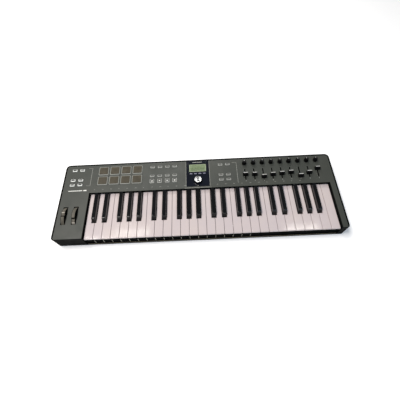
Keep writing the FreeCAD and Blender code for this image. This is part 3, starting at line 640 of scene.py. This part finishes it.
def comb_frame(node, centres, material):
    """The part of a key moulding behind the keys: its arms, their plungers and the pivot bar."""
    low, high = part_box(node)
    pivot_y = high.y - PIVOT_RADIUS
    knuckle = 2.5 * MM
    plunger_half, plunger_front, plunger_back = 2 * MM, KEY_FRONT + 84.5 * MM, KEY_FRONT + 88.5 * MM
    form = Form()
    for x in centres:
        form.slab((x - ARM_HALF, TAIL_END - 8 * MM, ARM_BOTTOM),
                  (x + ARM_HALF, pivot_y + knuckle, ARM_TOP - 0.4 * MM))
        form.slab((x - ARM_HALF, pivot_y - knuckle, PIVOT_Z),
                  (x + ARM_HALF, pivot_y + knuckle, ARM_BOTTOM + MM))
        form.slab((x - plunger_half, plunger_front, 26 * MM),
                  (x + plunger_half, plunger_back, KEY_TOP - 1.6 * MM))
    octave = int(node[-1]) - 1
    start = KEYS_LEFT + 7 * octave * PITCH + MM
    span = max(7, round((high.x - start) / PITCH)) * PITCH - 2 * MM
    form.bar(start, start + span, pivot_y, PIVOT_Z, PIVOT_RADIUS)
    form.finish(f"{node}_frame", node, material, [material], replaces=(node,))


def make_keys():
    """Three mouldings to the octave: C-E-G-B, D-F-A and the black keys. The last C is on the last C-E-G-B."""
    for octave in range(OCTAVES):
        for comb, steps in COMBS.items():
            node = f"{comb}_{octave + 1}"
            numbers = [7 * octave + step for step in steps]
            if octave == OCTAVES - 1 and comb == "white_comb_ceg":
                numbers.append(WHITES - 1)
            comb_frame(node, [sum(tail_edges(number)) / 2 for number in numbers], "key_white")
            for number in numbers:
                white_key(number, node, f"white_key_{number + 1:02d}")
        node = f"black_comb_{octave + 1}"
        comb_frame(node, [black_centre(octave, step) for step in BLACK_SHIFTS], "key_black")
        for step in BLACK_SHIFTS:
            black_key(octave, step, node, f"black_key_{octave + 1}_{step + 1}")


# ---- controls

FLANGE = 1.3 * MM
PAD_SIZE = (29 * MM, 28.4 * MM)
PAD_FACE = (24.6 * MM, 23.8 * MM)
PAD_FACE_BACK = 0.5 * MM


def numbered(kind, count):
    """Each node of a numbered kind, with its box's corners and its middle in plan."""
    for number in range(1, count + 1):
        node = f"{kind}_{number}"
        low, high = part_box(node)
        yield (node, low, high, *plan_centre(low, high))


def drawn_in(size, steps, material, back=0.0):
    """Loft rings of one rectangle, each (inset, radius, z)."""
    width, length = size
    return [(width - inset, length - inset, radius, z, material, back) for inset, radius, z in steps]


def make_pads():
    """Eight pads: a pale rim of rubber about a brown face that lies a little behind its middle."""
    for node, low, high, x, y in numbered("pad", 8):
        rim = high.z - 1.1 * MM
        rings = drawn_in(plan_size(low, high), ((0, 2 * MM, low.z), (0, 2 * MM, low.z + FLANGE)), 0)
        edge = ((0, 2.4 * MM, low.z + 1.4 * MM), (0, 2.4 * MM, rim - 0.5 * MM),
                (0.3 * MM, 2.3 * MM, rim - 0.15 * MM), (MM, 2 * MM, rim))
        face = ((-0.5 * MM, 1.5 * MM, rim - 0.25 * MM), (0, 1.5 * MM, rim),
                (0.2 * MM, 1.5 * MM, high.z - 0.5 * MM), (0.8 * MM, 1.4 * MM, high.z - 0.12 * MM),
                (2 * MM, 1.2 * MM, high.z))
        rings += drawn_in(PAD_SIZE, edge, 0)
        rings += drawn_in(PAD_FACE, ((-MM, 1.7 * MM, rim),), 0, PAD_FACE_BACK)
        rings += drawn_in(PAD_FACE, face, 1, PAD_FACE_BACK)
        form = Form()
        form.loft(x, y, rings)
        form.finish(f"{node}_rubber", node, "pad_rubber", ["pad_edge", "pad_face"], replaces=(node,))


def cap_rings(width, length, bottom, top):
    """A key cap with a lit rim, widest in front, about a dark face that stands a hair lower."""
    back = 0.6 * MM
    return [(width, length, 1.0 * MM, bottom, 0), (width, length, 1.0 * MM, top - 0.35 * MM, 0),
            (width - 0.25 * MM, length - 0.25 * MM, 1.0 * MM, top - 0.08 * MM, 0),
            (width - 0.7 * MM, length - 0.7 * MM, 0.9 * MM, top, 0),
            (width - 2.2 * MM, length - 2.0 * MM, 0.7 * MM, top, 0, back),
            (width - 2.6 * MM, length - 2.4 * MM, 0.6 * MM, top - 0.18 * MM, 1, back),
            (width - 3.6 * MM, length - 3.4 * MM, 0.5 * MM, top - 0.2 * MM, 1, back)]


ICON_DEPTH = 0.1 * MM
ICON_SIDES = 32
ICON_INK = 2


def icon_play(form, x, y, z):
    size = 2.2 * MM
    points = [(x - size * 0.7, y - size), (x + size, y), (x - size * 0.7, y + size)]
    form.prism(points, z, z + ICON_DEPTH, ICON_INK)


def icon_stop(form, x, y, z):
    side, radius = 3.6 * MM, 0.4 * MM
    form.loft(x, y, [(side, side, radius, z), (side, side, radius, z + ICON_DEPTH)], ICON_INK)


def icon_dot(form, x, y, z):
    radius = 1.7 * MM
    form.lathe(x, y, [(radius, z), (radius, z + ICON_DEPTH)], ICON_INK, sides=ICON_SIDES)


def icon_loop(form, x, y, z):
    outer, inner = 2.5 * MM, 1.7 * MM
    angles = [2 * math.pi * index / ICON_SIDES for index in range(ICON_SIDES)]
    section = ((outer, z), (outer, z + ICON_DEPTH), (inner, z + ICON_DEPTH), (inner, z))
    rings = [form.ring((x + radius * math.cos(a), y + radius * math.sin(a), level) for a in angles)
             for radius, level in section]
    form.skin(rings, [ICON_INK] * len(rings), closed=True)


def add_web(form, low, high, radius, material):
    """The sheet that joins the buttons of a keypad under the panel."""
    size = plan_size(low, high)
    form.loft(*plan_centre(low, high), [(*size, radius, low.z), (*size, radius, low.z + FLANGE)], material)


def make_keypad(node, rim, face):
    """A rubber keypad with a cap on each button of the CAD node. Its long caps carry plain signs."""
    low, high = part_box(node)
    form = Form()
    icons = [icon_loop, icon_play, icon_dot, icon_stop]
    for x, y, width, length, top in top_faces(node):
        form.loft(x, y, cap_rings(width, length, low.z + 0.2 * MM, top))
        if length > 10 * MM:
            icons.pop(0)(form, x, y, top - 0.21 * MM)
    add_web(form, low, high, 2 * MM, 1)
    form.finish(f"{node}_silicone", node, "keypad_rubber", [rim, face, "legend"], replaces=(node,))


def make_keypads():
    """Three keypads with lit rims, and the four small buttons in front of the screen."""
    make_keypad("left_keypad", "lit_white", "cap_face_dark")
    make_keypad("centre_keypad", "lit_grey", "cap_face")
    make_keypad("right_keypad", "lit_grey", "cap_face")
    node = "display_keypad"
    low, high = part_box(node)
    form = Form()
    for x, y, width, length, top in top_faces(node):
        steps = ((0, 1.2 * MM, low.z + 0.2 * MM), (0, 1.2 * MM, top - 0.4 * MM),
                 (0.4 * MM, 1.1 * MM, top - 0.1 * MM), (1.2 * MM, 0.8 * MM, top))
        form.loft(x, y, drawn_in((width, length), steps, 0))
    add_web(form, low, high, MM, 0)
    form.finish("display_keypad_silicone", node, "keypad_rubber", ["lit_lilac"], replaces=(node,))


def make_knobs():
    """Nine fluted knobs with a flared skirt, a dished top and a pale pointer."""
    for node, low, high, x, y in numbered("knob", 9):
        base = PANEL_TOP + 0.6 * MM
        radius = (high.x - low.x) / 2
        crown = radius - 0.6 * MM
        form = Form()
        profile = [(3 * MM, low.z), (3 * MM, base), (radius - 0.4 * MM, base), (radius, base + 0.4 * MM),
                   (radius, base + 1.7 * MM), (radius - 0.35 * MM, base + 2.1 * MM),
                   (crown + 0.3 * MM, base + 2.4 * MM, 0, 1), (crown, high.z - 1.5 * MM, 0, 1),
                   (crown - 0.15 * MM, high.z - 0.7 * MM, 0, 0.4), (crown - 0.8 * MM, high.z),
                   (crown - 1.9 * MM, high.z), (crown - 2.6 * MM, high.z - 0.5 * MM),
                   (0.6 * MM, high.z - 0.55 * MM)]
        form.lathe(x, y, profile, sides=144, flute=0.42 * MM, flutes=24)
        half = 0.8 * MM
        form.slab((x - half, y + 2 * MM, high.z - 0.9 * MM), (x + half, y + crown - 0.3 * MM, high.z), 1)
        form.finish(f"{node}_cap", node, "knob_plastic", ["knob", "pointer"], replaces=(node,))


def make_faders():
    """Nine fader caps, each with a pale line, two ribs and the metal lever that it is pushed onto."""
    for node, low, high, x, y in numbered("fader_cap", 9):
        base = PANEL_TOP + 0.9 * MM
        width, length = plan_size(low, high)
        form = Form()
        rings = [(width - MM, length - MM, MM, base), (width, length, 1.2 * MM, base + 0.6 * MM),
                 (width - 0.2 * MM, length - 0.8 * MM, 1.1 * MM, base + 3 * MM),
                 (width - 0.8 * MM, length - 2.4 * MM, MM, high.z - 1.4 * MM),
                 (width - 1.1 * MM, length - 2.9 * MM, 0.9 * MM, high.z - 0.5 * MM),
                 (width - 1.9 * MM, length - 3.6 * MM, 0.7 * MM, high.z - 0.1 * MM)]
        form.loft(x, y, rings)
        for half, front, back, sunk, material in ((6.4, 0.6, 2.6, 1.0, 1), (6.6, -2.6, -1.9, 0.6, 0),
                                                  (6.6, -1.2, -0.5, 0.6, 0)):
            form.slab((x - half * MM, y + front * MM, high.z - sunk * MM),
                      (x + half * MM, y + back * MM, high.z), material)
        form.slab((x - 0.6 * MM, y - 2 * MM, low.z), (x + 0.6 * MM, y + 2 * MM, base + MM), 2)
        form.finish(f"{node}_shell", node, "knob_plastic", ["fader", "pointer", "tin"], replaces=(node,))


def make_dial():
    """The main dial: a spun metal top on a fluted black skirt, built about its own axis."""
    node = "main_dial"
    low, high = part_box(node)
    radius = (high.x - low.x) / 2
    base = BEZEL_HIGH.z - 2 * MM + 0.6 * MM
    form = Form()
    profile = [(3 * MM, low.z, 1), (3 * MM, base, 1), (radius - 0.5 * MM, base, 1),
               (radius, base + 0.5 * MM, 1), (radius, base + 1.2 * MM, 1),
               (radius - 0.1 * MM, base + 1.6 * MM, 1, 1), (radius - 0.25 * MM, high.z - 1.7 * MM, 1, 1),
               (radius - 0.3 * MM, high.z - 1.4 * MM), (radius - 0.6 * MM, high.z - 0.5 * MM),
               (radius - 1.3 * MM, high.z), (radius - 1.8 * MM, high.z - 0.08 * MM),
               (radius - 2.3 * MM, high.z - 0.1 * MM), (0.5 * MM, high.z - 0.12 * MM)]
    form.lathe(0, 0, profile, sides=192, flute=0.3 * MM, flutes=48)
    middle = (*plan_centre(low, high), 0)
    form.finish("main_dial_cap", node, "dial_metal", ["dial", "knob"], replaces=(node,), at=middle)


# ---- case, display and small print

def make_screen():
    """The lit screen and its generic bar graph behind the window, in the display module's frame."""
    dress("display_module", "screen_frame", 0.3 * MM, join=False)
    low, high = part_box("display_module")
    x, y = plan_centre(low, high)
    margin, border, corner = 6.6 * MM, 4 * MM, 0.6 * MM
    width, length = (side - margin for side in plan_size(low, high))
    form = Form()
    form.loft(x, y, [(width, length, corner, high.z), (width, length, corner, high.z + 0.1 * MM)])
    field = high.z + 0.08 * MM
    form.loft(x, y, [(width - border, length - border, corner, field),
                     (width - border, length - border, corner, field + 0.07 * MM)], 2)
    ink_low, ink_high = high.z + 0.13 * MM, high.z + 0.2 * MM
    left, front = x - width / 2, y - length / 2
    margin_share, ground = 0.12, front + 0.22 * length
    bars, bar_step, bar_width = 16, 0.048 * width, 0.032 * width
    for index in range(bars):
        rise = (0.35 + 0.55 * abs(math.sin(0.9 * index + 0.4))) * length * 0.42
        start = left + margin_share * width + index * bar_step
        form.slab((start, ground, ink_low), (start + bar_width, ground + rise, ink_high), 1)
    for row, share in ((0.12, 0.76), (0.74, 0.5), (0.84, 0.3)):
        form.slab((left + margin_share * width, front + row * length, ink_low),
                  (left + (margin_share + share) * width, front + row * length + 0.7 * MM, ink_high), 1)
    form.finish("screen_glass", "case", "lcd_module", ["screen_edge", "screen_ink", "screen"])


def make_edge_shade_band():
    """A band of painted shade along the panel's back and side edges, round its corners and thinning out at
    the front.
    """
    front, back = CASE_LOW.y + FRONT_CORNER, CASE_HIGH.y - CORNER
    corners = ((CASE_LOW.x + FRONT_CORNER, front, FRONT_CORNER, 270),
               (CASE_LOW.x + CORNER, back, CORNER, 180), (CASE_HIGH.x - CORNER, back, CORNER, 90),
               (CASE_HIGH.x - FRONT_CORNER, front, FRONT_CORNER, 0))
    rise, edge, thinnest = 0.1 * MM, 0.1 * MM, 0.15
    low, high = PANEL_TOP - rise, PANEL_TOP + rise
    shoulder = high - 0.06 * MM
    form = Form()
    rings = []
    for x, y, radius, first in corners:
        for step in range(BAND_STEPS + 1):
            turn = math.radians(first - 90 * step / BAND_STEPS)
            share = thinnest + (1 - thinnest) * abs(math.cos(turn)) if radius == FRONT_CORNER else 1
            outer = radius - BAND_INSET
            inner = outer - BAND_WIDTH * share
            section = ((outer, low), (outer, shoulder), (outer - edge, high), (inner + edge, high),
                       (inner, shoulder), (inner, low))
            rings.append(form.ring((x + reach * math.cos(turn), y + reach * math.sin(turn), z)
                                   for reach, z in section))
    form.skin(rings, [0] * len(rings))
    form.finish("panel_edge_painted_shade", "case", "case_top", ["case_wall_painted_shade"])


STRIP_GAP = 0.5 * MM
STRIP_REACH = 1.7 * MM
FADERS_LEFT = 448
FADER_STEP = 26.1
KEY_STEP = 23.5
DIVIDERS = ((-2.7, 160, -1.9, 221), (-14, 220.3, -2.7, 221), (-14, 160, -2.7, 160.7),
            (424.6, 148, 425.4, 219), (412, 218.3, 424.6, 219))
PLAIN_MARKS = ((-62, 143.6, -22, 145.7), (-19, 143, -10, 146.5))


def make_display_strips():
    """Pale strips at both sides of the display's frame, and one in front of it that is a painted
    highlight along the panel's front edge.
    """
    form = Form()
    low, high = PANEL_TOP - 0.1 * MM, PANEL_TOP + 0.2 * MM
    for edge, way in ((BEZEL_LOW.x, -1), (BEZEL_HIGH.x, 1)):
        near, far = sorted((edge + way * STRIP_GAP, edge + way * STRIP_REACH))
        form.slab((near, BEZEL_LOW.y, low), (far, BEZEL_HIGH.y - 1.5 * MM, high))
    # the strip in front is a painted highlight along the panel's front edge
    form.slab((BEZEL_LOW.x - 4 * MM, PANEL_FRONT + 0.9 * MM, low),
              (BEZEL_HIGH.x + 4 * MM, PANEL_FRONT + 2.3 * MM, high))
    form.finish("display_pale_strips", "case", "case_top", ["pale_strip_highlight"])


def make_display_marks():
    """Two plain bars at the back of the display's frame and a tick in front of the dial."""
    form = Form()
    middle = (BEZEL_LOW.x + BEZEL_HIGH.x) / 2
    plate = PANEL_TOP + 0.3 * MM
    low, high, tick_high = plate - 0.1 * MM, plate + 0.2 * MM, plate + 0.05 * MM
    for left, right in ((-15, -4), (-2.6, 14)):
        form.slab((middle + left * MM, BEZEL_HIGH.y - 6 * MM, low),
                  (middle + right * MM, BEZEL_HIGH.y - 4 * MM, high))
    form.slab((middle - 1.1 * MM, BEZEL_LOW.y + 1.2 * MM, low),
              (middle + 0.6 * MM, BEZEL_LOW.y + 4.4 * MM, tick_high))
    form.finish("display_marks", "case", "bezel_gloss", ["legend_dim"])


def make_print():
    """Divider lines, plain marks and fader scales on the panel, in millimetres from the keys' front left
    corner. The marks along the keys are left out where the display's pale strips would cover them."""
    form = Form()
    bottom, top = PANEL_TOP - 0.02 * MM, PANEL_TOP + 0.04 * MM

    def line(x0, y0, x1, y1, material=0):
        form.slab((KEYS_LEFT + x0 * MM, KEY_FRONT + y0 * MM, bottom),
                  (KEYS_LEFT + x1 * MM, KEY_FRONT + y1 * MM, top), material)

    for divider in DIVIDERS:
        line(*divider, 1)
    for mark in PLAIN_MARKS:
        line(*mark)
    for index in range(9):
        x = FADERS_LEFT + FADER_STEP * index
        line(x - 0.4, 151.5, x + 0.4, 153.2)
        for tick in range(5):
            line(x - 4.4, 160 + 7.5 * tick, x - 3, 160.4 + 7.5 * tick, 1)
    for index in range(26):
        start = 11 + KEY_STEP * index
        end = start + 3 + index % 3
        before = KEYS_LEFT + end * MM < BEZEL_LOW.x - STRIP_REACH
        beyond = KEYS_LEFT + start * MM > BEZEL_HIGH.x + STRIP_REACH
        if before or beyond:
            line(start, 145.6, end, 146.5, 1)
    form.finish("panel_print", "case", "case_top", ["legend", "legend_dim"])


def make_felt():
    """The felt strip under the panel's edge that the keys' tails rise against."""
    form = Form()
    form.slab((KEYS_LEFT, PANEL_FRONT + 3 * MM, KEY_TOP + 0.4 * MM),
              (KEYS_LEFT + WHITES * PITCH, PANEL_FRONT + 6 * MM, KEY_TOP + 1.4 * MM))
    form.finish("key_felt", "case", "case_bottom", ["felt"])


def make_guides():
    """Guide ribs on the keybed's front wall, one under each gap between white keys, and a pale strip on the
    ledge.
    The ribs' pale colour is a painted highlight for light falling through the gaps between the keys. Only the
    left and middle ribs are pale, as in the photo. The others are as dark as the wall, painted shade where
    that light fades."""
    low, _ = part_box("keybed_chassis")
    half = 0.7 * MM
    form = Form()
    # ribs past the last lit one take the near-black chassis as painted shade
    for number in range(1, WHITES):
        x = KEYS_LEFT + number * PITCH
        form.slab((x - half, low.y - 1.1 * MM, 8 * MM), (x + half, low.y + 0.4 * MM, 23.3 * MM),
                  int(number > LAST_PAINTED_LIGHT_GUIDE))
    form.finish("keybed_guides", "case", "chassis_plastic", ["guide_painted_light", "chassis"])
    form = Form()
    # a pale strip on the ledge, painted light for its lit top
    form.slab((KEYS_LEFT, CASE_LOW.y + 0.2 * MM, 6.4 * MM),
              (KEYS_LEFT + WHITES * PITCH, CASE_LOW.y + 1.8 * MM, 7.2 * MM))
    form.finish("ledge_painted_light_strip", "case", "case_bottom", ["ledge_painted_light"])


def make_screws():
    """Case screws with six-lobed sockets in their heads."""
    form = Form()
    for low, high in separate_parts("case_screws"):
        x, y = plan_centre(low, high)
        head = (high.x - low.x) / 2
        shank = head / 2
        profile = [(0.3 * MM, low.z + 0.9 * MM), (1.5 * MM, low.z + 0.9 * MM, 0, 1),
                   (1.5 * MM, low.z, 0, 1), (head - 0.5 * MM, low.z), (head, low.z + 0.5 * MM),
                   (head, low.z + 1.8 * MM), (shank, low.z + 1.8 * MM), (shank, high.z - 2 * MM),
                   (0.3 * MM, high.z)]
        form.lathe(x, y, profile, sides=48, flute=0.45 * MM, flutes=6)
    form.finish("case_screws_turned", "case", "screw_steel", ["screw"], replaces=("case_screws",))


def make_feet():
    """Rubber feet with a rounded edge and a dished sole."""
    form = Form()
    for low, high in separate_parts("rubber_feet"):
        x, y = plan_centre(low, high)
        radius = (high.x - low.x) / 2
        profile = [(0.3 * MM, low.z + 0.5 * MM), (radius - 3.4 * MM, low.z + 0.5 * MM),
                   (radius - 2.6 * MM, low.z + 0.1 * MM), (radius - 2.2 * MM, low.z),
                   (radius - MM, low.z), (radius - 0.3 * MM, low.z + 0.3 * MM), (radius, low.z + MM),
                   (radius, high.z)]
        form.lathe(x, y, profile)
    form.finish("rubber_feet_moulded", "case", "foot_rubber", ["foot"], replaces=("rubber_feet",))


WHEEL_SWEEP = 152
DENT_REACH = 4 * MM
DENT_RADIUS = 6 * MM
WHEEL_HUB = 7 * MM
TREAD_STEPS = 120
HUB_STEPS = 24
RIB_DEPTH = 0.45 * MM


def make_wheel(node, back_end, lean, shade_line_at, highlight_at):
    """A finger wheel: a ribbed tread between smooth flanks, dented where the finger rests, with a near-black
    line of painted shade across it and a pale patch of painted highlight, each at its angle."""
    joint = next(one for one in frame["record"]["behaviour"]["joints"] if one["child"] == node)
    x, y, z = joint["pos_m"]
    low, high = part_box(node)
    radius = high.z - z
    half = 5.7 * MM

    def rim(degrees):
        """How far the tread stands from the axle at an angle from straight up toward the back."""
        off = math.radians(degrees + lean)
        far = radius + DENT_REACH
        room = DENT_RADIUS ** 2 - (far * math.sin(off)) ** 2
        dent = far * math.cos(off) - math.sqrt(room) if room > 0 and math.cos(off) > 0 else radius
        return min(radius, dent)

    angles = [back_end - WHEEL_SWEEP * (1 - index / TREAD_STEPS) for index in range(TREAD_STEPS + 1)]
    under = [back_end + (360 - WHEEL_SWEEP) * index / HUB_STEPS for index in range(HUB_STEPS + 1)]
    form, rings = Form(), []
    section = ((-half, 1.1, 0), (-half + 0.3 * MM, 0.4, 0), (-half + MM, 0.1, 0), (-half + 1.3 * MM, 0.0, 1),
               (half - 2 * MM, 0.0, 1), (half - 1.7 * MM, 0.1, 0), (half - 0.3 * MM, 0.5, 0), (half, 1.1, 0))
    for aside, sunk, ribbed in section:
        reaches = [(degrees, rim(degrees) - sunk * MM - ribbed * RIB_DEPTH * (index % 4 in (0, 1)))
                   for index, degrees in enumerate(angles)]
        reaches += [(degrees, WHEEL_HUB) for degrees in under]
        turned = [(math.radians(degrees), reach) for degrees, reach in reaches]
        rings.append(form.ring((x + aside, y + reach * math.sin(turn), z + reach * math.cos(turn))
                               for turn, reach in turned))
    form.skin(rings, [1, 1, 1, 0, 1, 1, 1])
    for face in form.mesh.faces:
        middle = face.calc_center_median()
        bearing = math.degrees(math.atan2(middle.y - y, middle.z - z))
        # faces near the first angle get painted shade (near-black), near the second a painted highlight
        if face.material_index == 0 and abs(bearing - shade_line_at) < SHADE_LINE_SPAN:
            face.material_index = 1
        elif face.material_index == 0 and abs(bearing - highlight_at) < HIGHLIGHT_SPAN:
            face.material_index = 2
    form.bar(low.x, high.x, y, z, 2 * MM, 1)
    form.finish(f"{node}_tread", node, "wheel_plastic", ["wheel", "chassis", "wheel_painted_highlight"], replaces=(node,))


def make_case():
    """Finishes for the CAD nodes that stay as they are."""
    dress("top_case", "case_top", join=False)
    # the top case's walls and rim take the near-black painted shade
    paint_wall_shade("top_case", "case_wall_painted_shade")
    # the bottom shell takes the near-black painted shade
    dress("bottom_case", "case_bottom", 0.2 * MM)
    dress("display_bezel", "bezel", 0.15 * MM, join=False)
    dress("keybed_chassis", "chassis", 0.15 * MM)
    dress("wheel_bracket", "chassis", 0.3 * MM)
    dress("rear_sockets", "socket", 0.1 * MM, join=False)
    for node in ("key_contact_board", "control_board", "main_board"):
        dress(node, "board", 0.15 * MM)
    dress("key_domes", "dome", 0.2 * MM)
    dress("slide_pots", "chassis", 0.2 * MM, join=False)
    dress("rotary_encoders", "tin", 0.2 * MM)


# ---- stage

def look(azimuth, elevation, roll):
    """A camera's turning from its bearing, its height above the horizon and its roll."""
    level_reach = math.cos(elevation)
    forward = Vector((math.sin(azimuth) * level_reach, math.cos(azimuth) * level_reach, -math.sin(elevation)))
    level = forward.cross(Vector((0, 0, 1))).normalized()
    upright = level.cross(forward)
    right = level * math.cos(roll) - upright * math.sin(roll)
    up = upright * math.cos(roll) + level * math.sin(roll)
    return Matrix((right, up, -forward)).transposed().to_4x4()


LENS = 25.25
CAMERA_PLACE = (0.0112, -0.3848, 0.7369)
CAMERA_TURN = (-1.09, 61.97, 3.54)

# each light's place, target, size, watts and colour. The two gleams are the ones mirrored in the white keys
LIGHTS = {
    "key_light": ((-1.0, 0.05, 2.5), (0, 0, 0), (1.4, 0.8), 67, (1.0, 0.95, 0.91)),
    "fill_light": ((0.9, -1.0, 2.0), (0, 0, 0), (1.0, 0.8), 9, (0.5, 0.72, 1.0)),
    "back_light": ((-0.2, 1.3, 1.3), (0, 0, 0), (0.8, 0.4), 10, (1.0, 1.0, 0.97)),
    "left_gleam": ((-0.56, 0.46, 1.434), (-0.56, 0.46, 0.0), (0.27, 0.05), 0.35, (1.0, 1.0, 0.94)),
    "right_gleam": ((0.79, 0.43, 1.434), (0.79, 0.43, 0.0), (0.26, 0.03), 0.42, (1.0, 0.97, 0.9)),
}
FLOOR_HALF = 6
FLOOR_DEPTH = 0.02
FLOOR_GLOW = 0.13
WORLD_COLOR = (0.96, 0.98, 1.0, 1.0)
WORLD_STRENGTH = 0.2


def make_camera():
    """The photo's view, found by fitting a camera to the corners of the key field and the case."""
    data = bpy.data.cameras.new("camera")
    data.sensor_width = 36
    data.lens = LENS
    camera = bpy.data.objects.new("camera", data)
    bpy.context.scene.collection.objects.link(camera)
    turning = look(*(math.radians(angle) for angle in CAMERA_TURN))
    camera.matrix_world = Matrix.Translation(CAMERA_PLACE) @ turning
    bpy.context.scene.camera = camera


def area_light(name, place, target, size, power, color):
    data = bpy.data.lights.new(name, "AREA")
    data.shape = "RECTANGLE"
    data.size, data.size_y = size
    data.energy = power
    data.color = color
    light = bpy.data.objects.new(name, data)
    bpy.context.scene.collection.objects.link(light)
    light.location = place
    light.rotation_euler = (Vector(target) - Vector(place)).to_track_quat("-Z", "Y").to_euler()


def make_stage():
    """A pale floor with a little light of its own, a dim world and the area lights."""
    form = Form()
    half = FLOOR_HALF
    form.prism([(-half, -half), (half, -half), (half, half), (-half, half)], -FLOOR_DEPTH, 0.0)
    mesh = bpy.data.meshes.new("floor")
    bmesh.ops.recalc_face_normals(form.mesh, faces=form.mesh.faces)
    form.mesh.to_mesh(mesh)
    form.mesh.free()
    floor = bpy.data.objects.new("floor", mesh)
    bpy.context.scene.collection.objects.link(floor)
    surface = Surface(srgb(252, 252, 252), 0.7, Emission_Color=(1, 1, 1, 1), Emission_Strength=FLOOR_GLOW)
    surface.material.name = "floor"
    surface.bump(surface.noise(60, 3), 0.2 * MM, 0.1)
    mesh.materials.append(surface.material)
    world = bpy.data.worlds.new("world")
    bpy.context.scene.world = world
    world.use_nodes = True
    background = world.node_tree.nodes["Background"]
    background.inputs[0].default_value = WORLD_COLOR
    background.inputs[1].default_value = WORLD_STRENGTH
    for name, settings in LIGHTS.items():
        area_light(name, *settings)
    bpy.context.scene.view_settings.view_transform = "Standard"


make_camera()
make_stage()
make_case()
make_keys()
make_pads()
make_keypads()
make_knobs()
make_faders()
make_dial()
make_screen()
make_edge_shade_band()
make_display_strips()
make_display_marks()
make_print()
make_felt()
make_guides()
make_screws()
make_feet()
make_wheel("pitch_wheel", 76, 0, -7, 10.5)
make_wheel("mod_wheel", 50, 27, -20, -42.5)
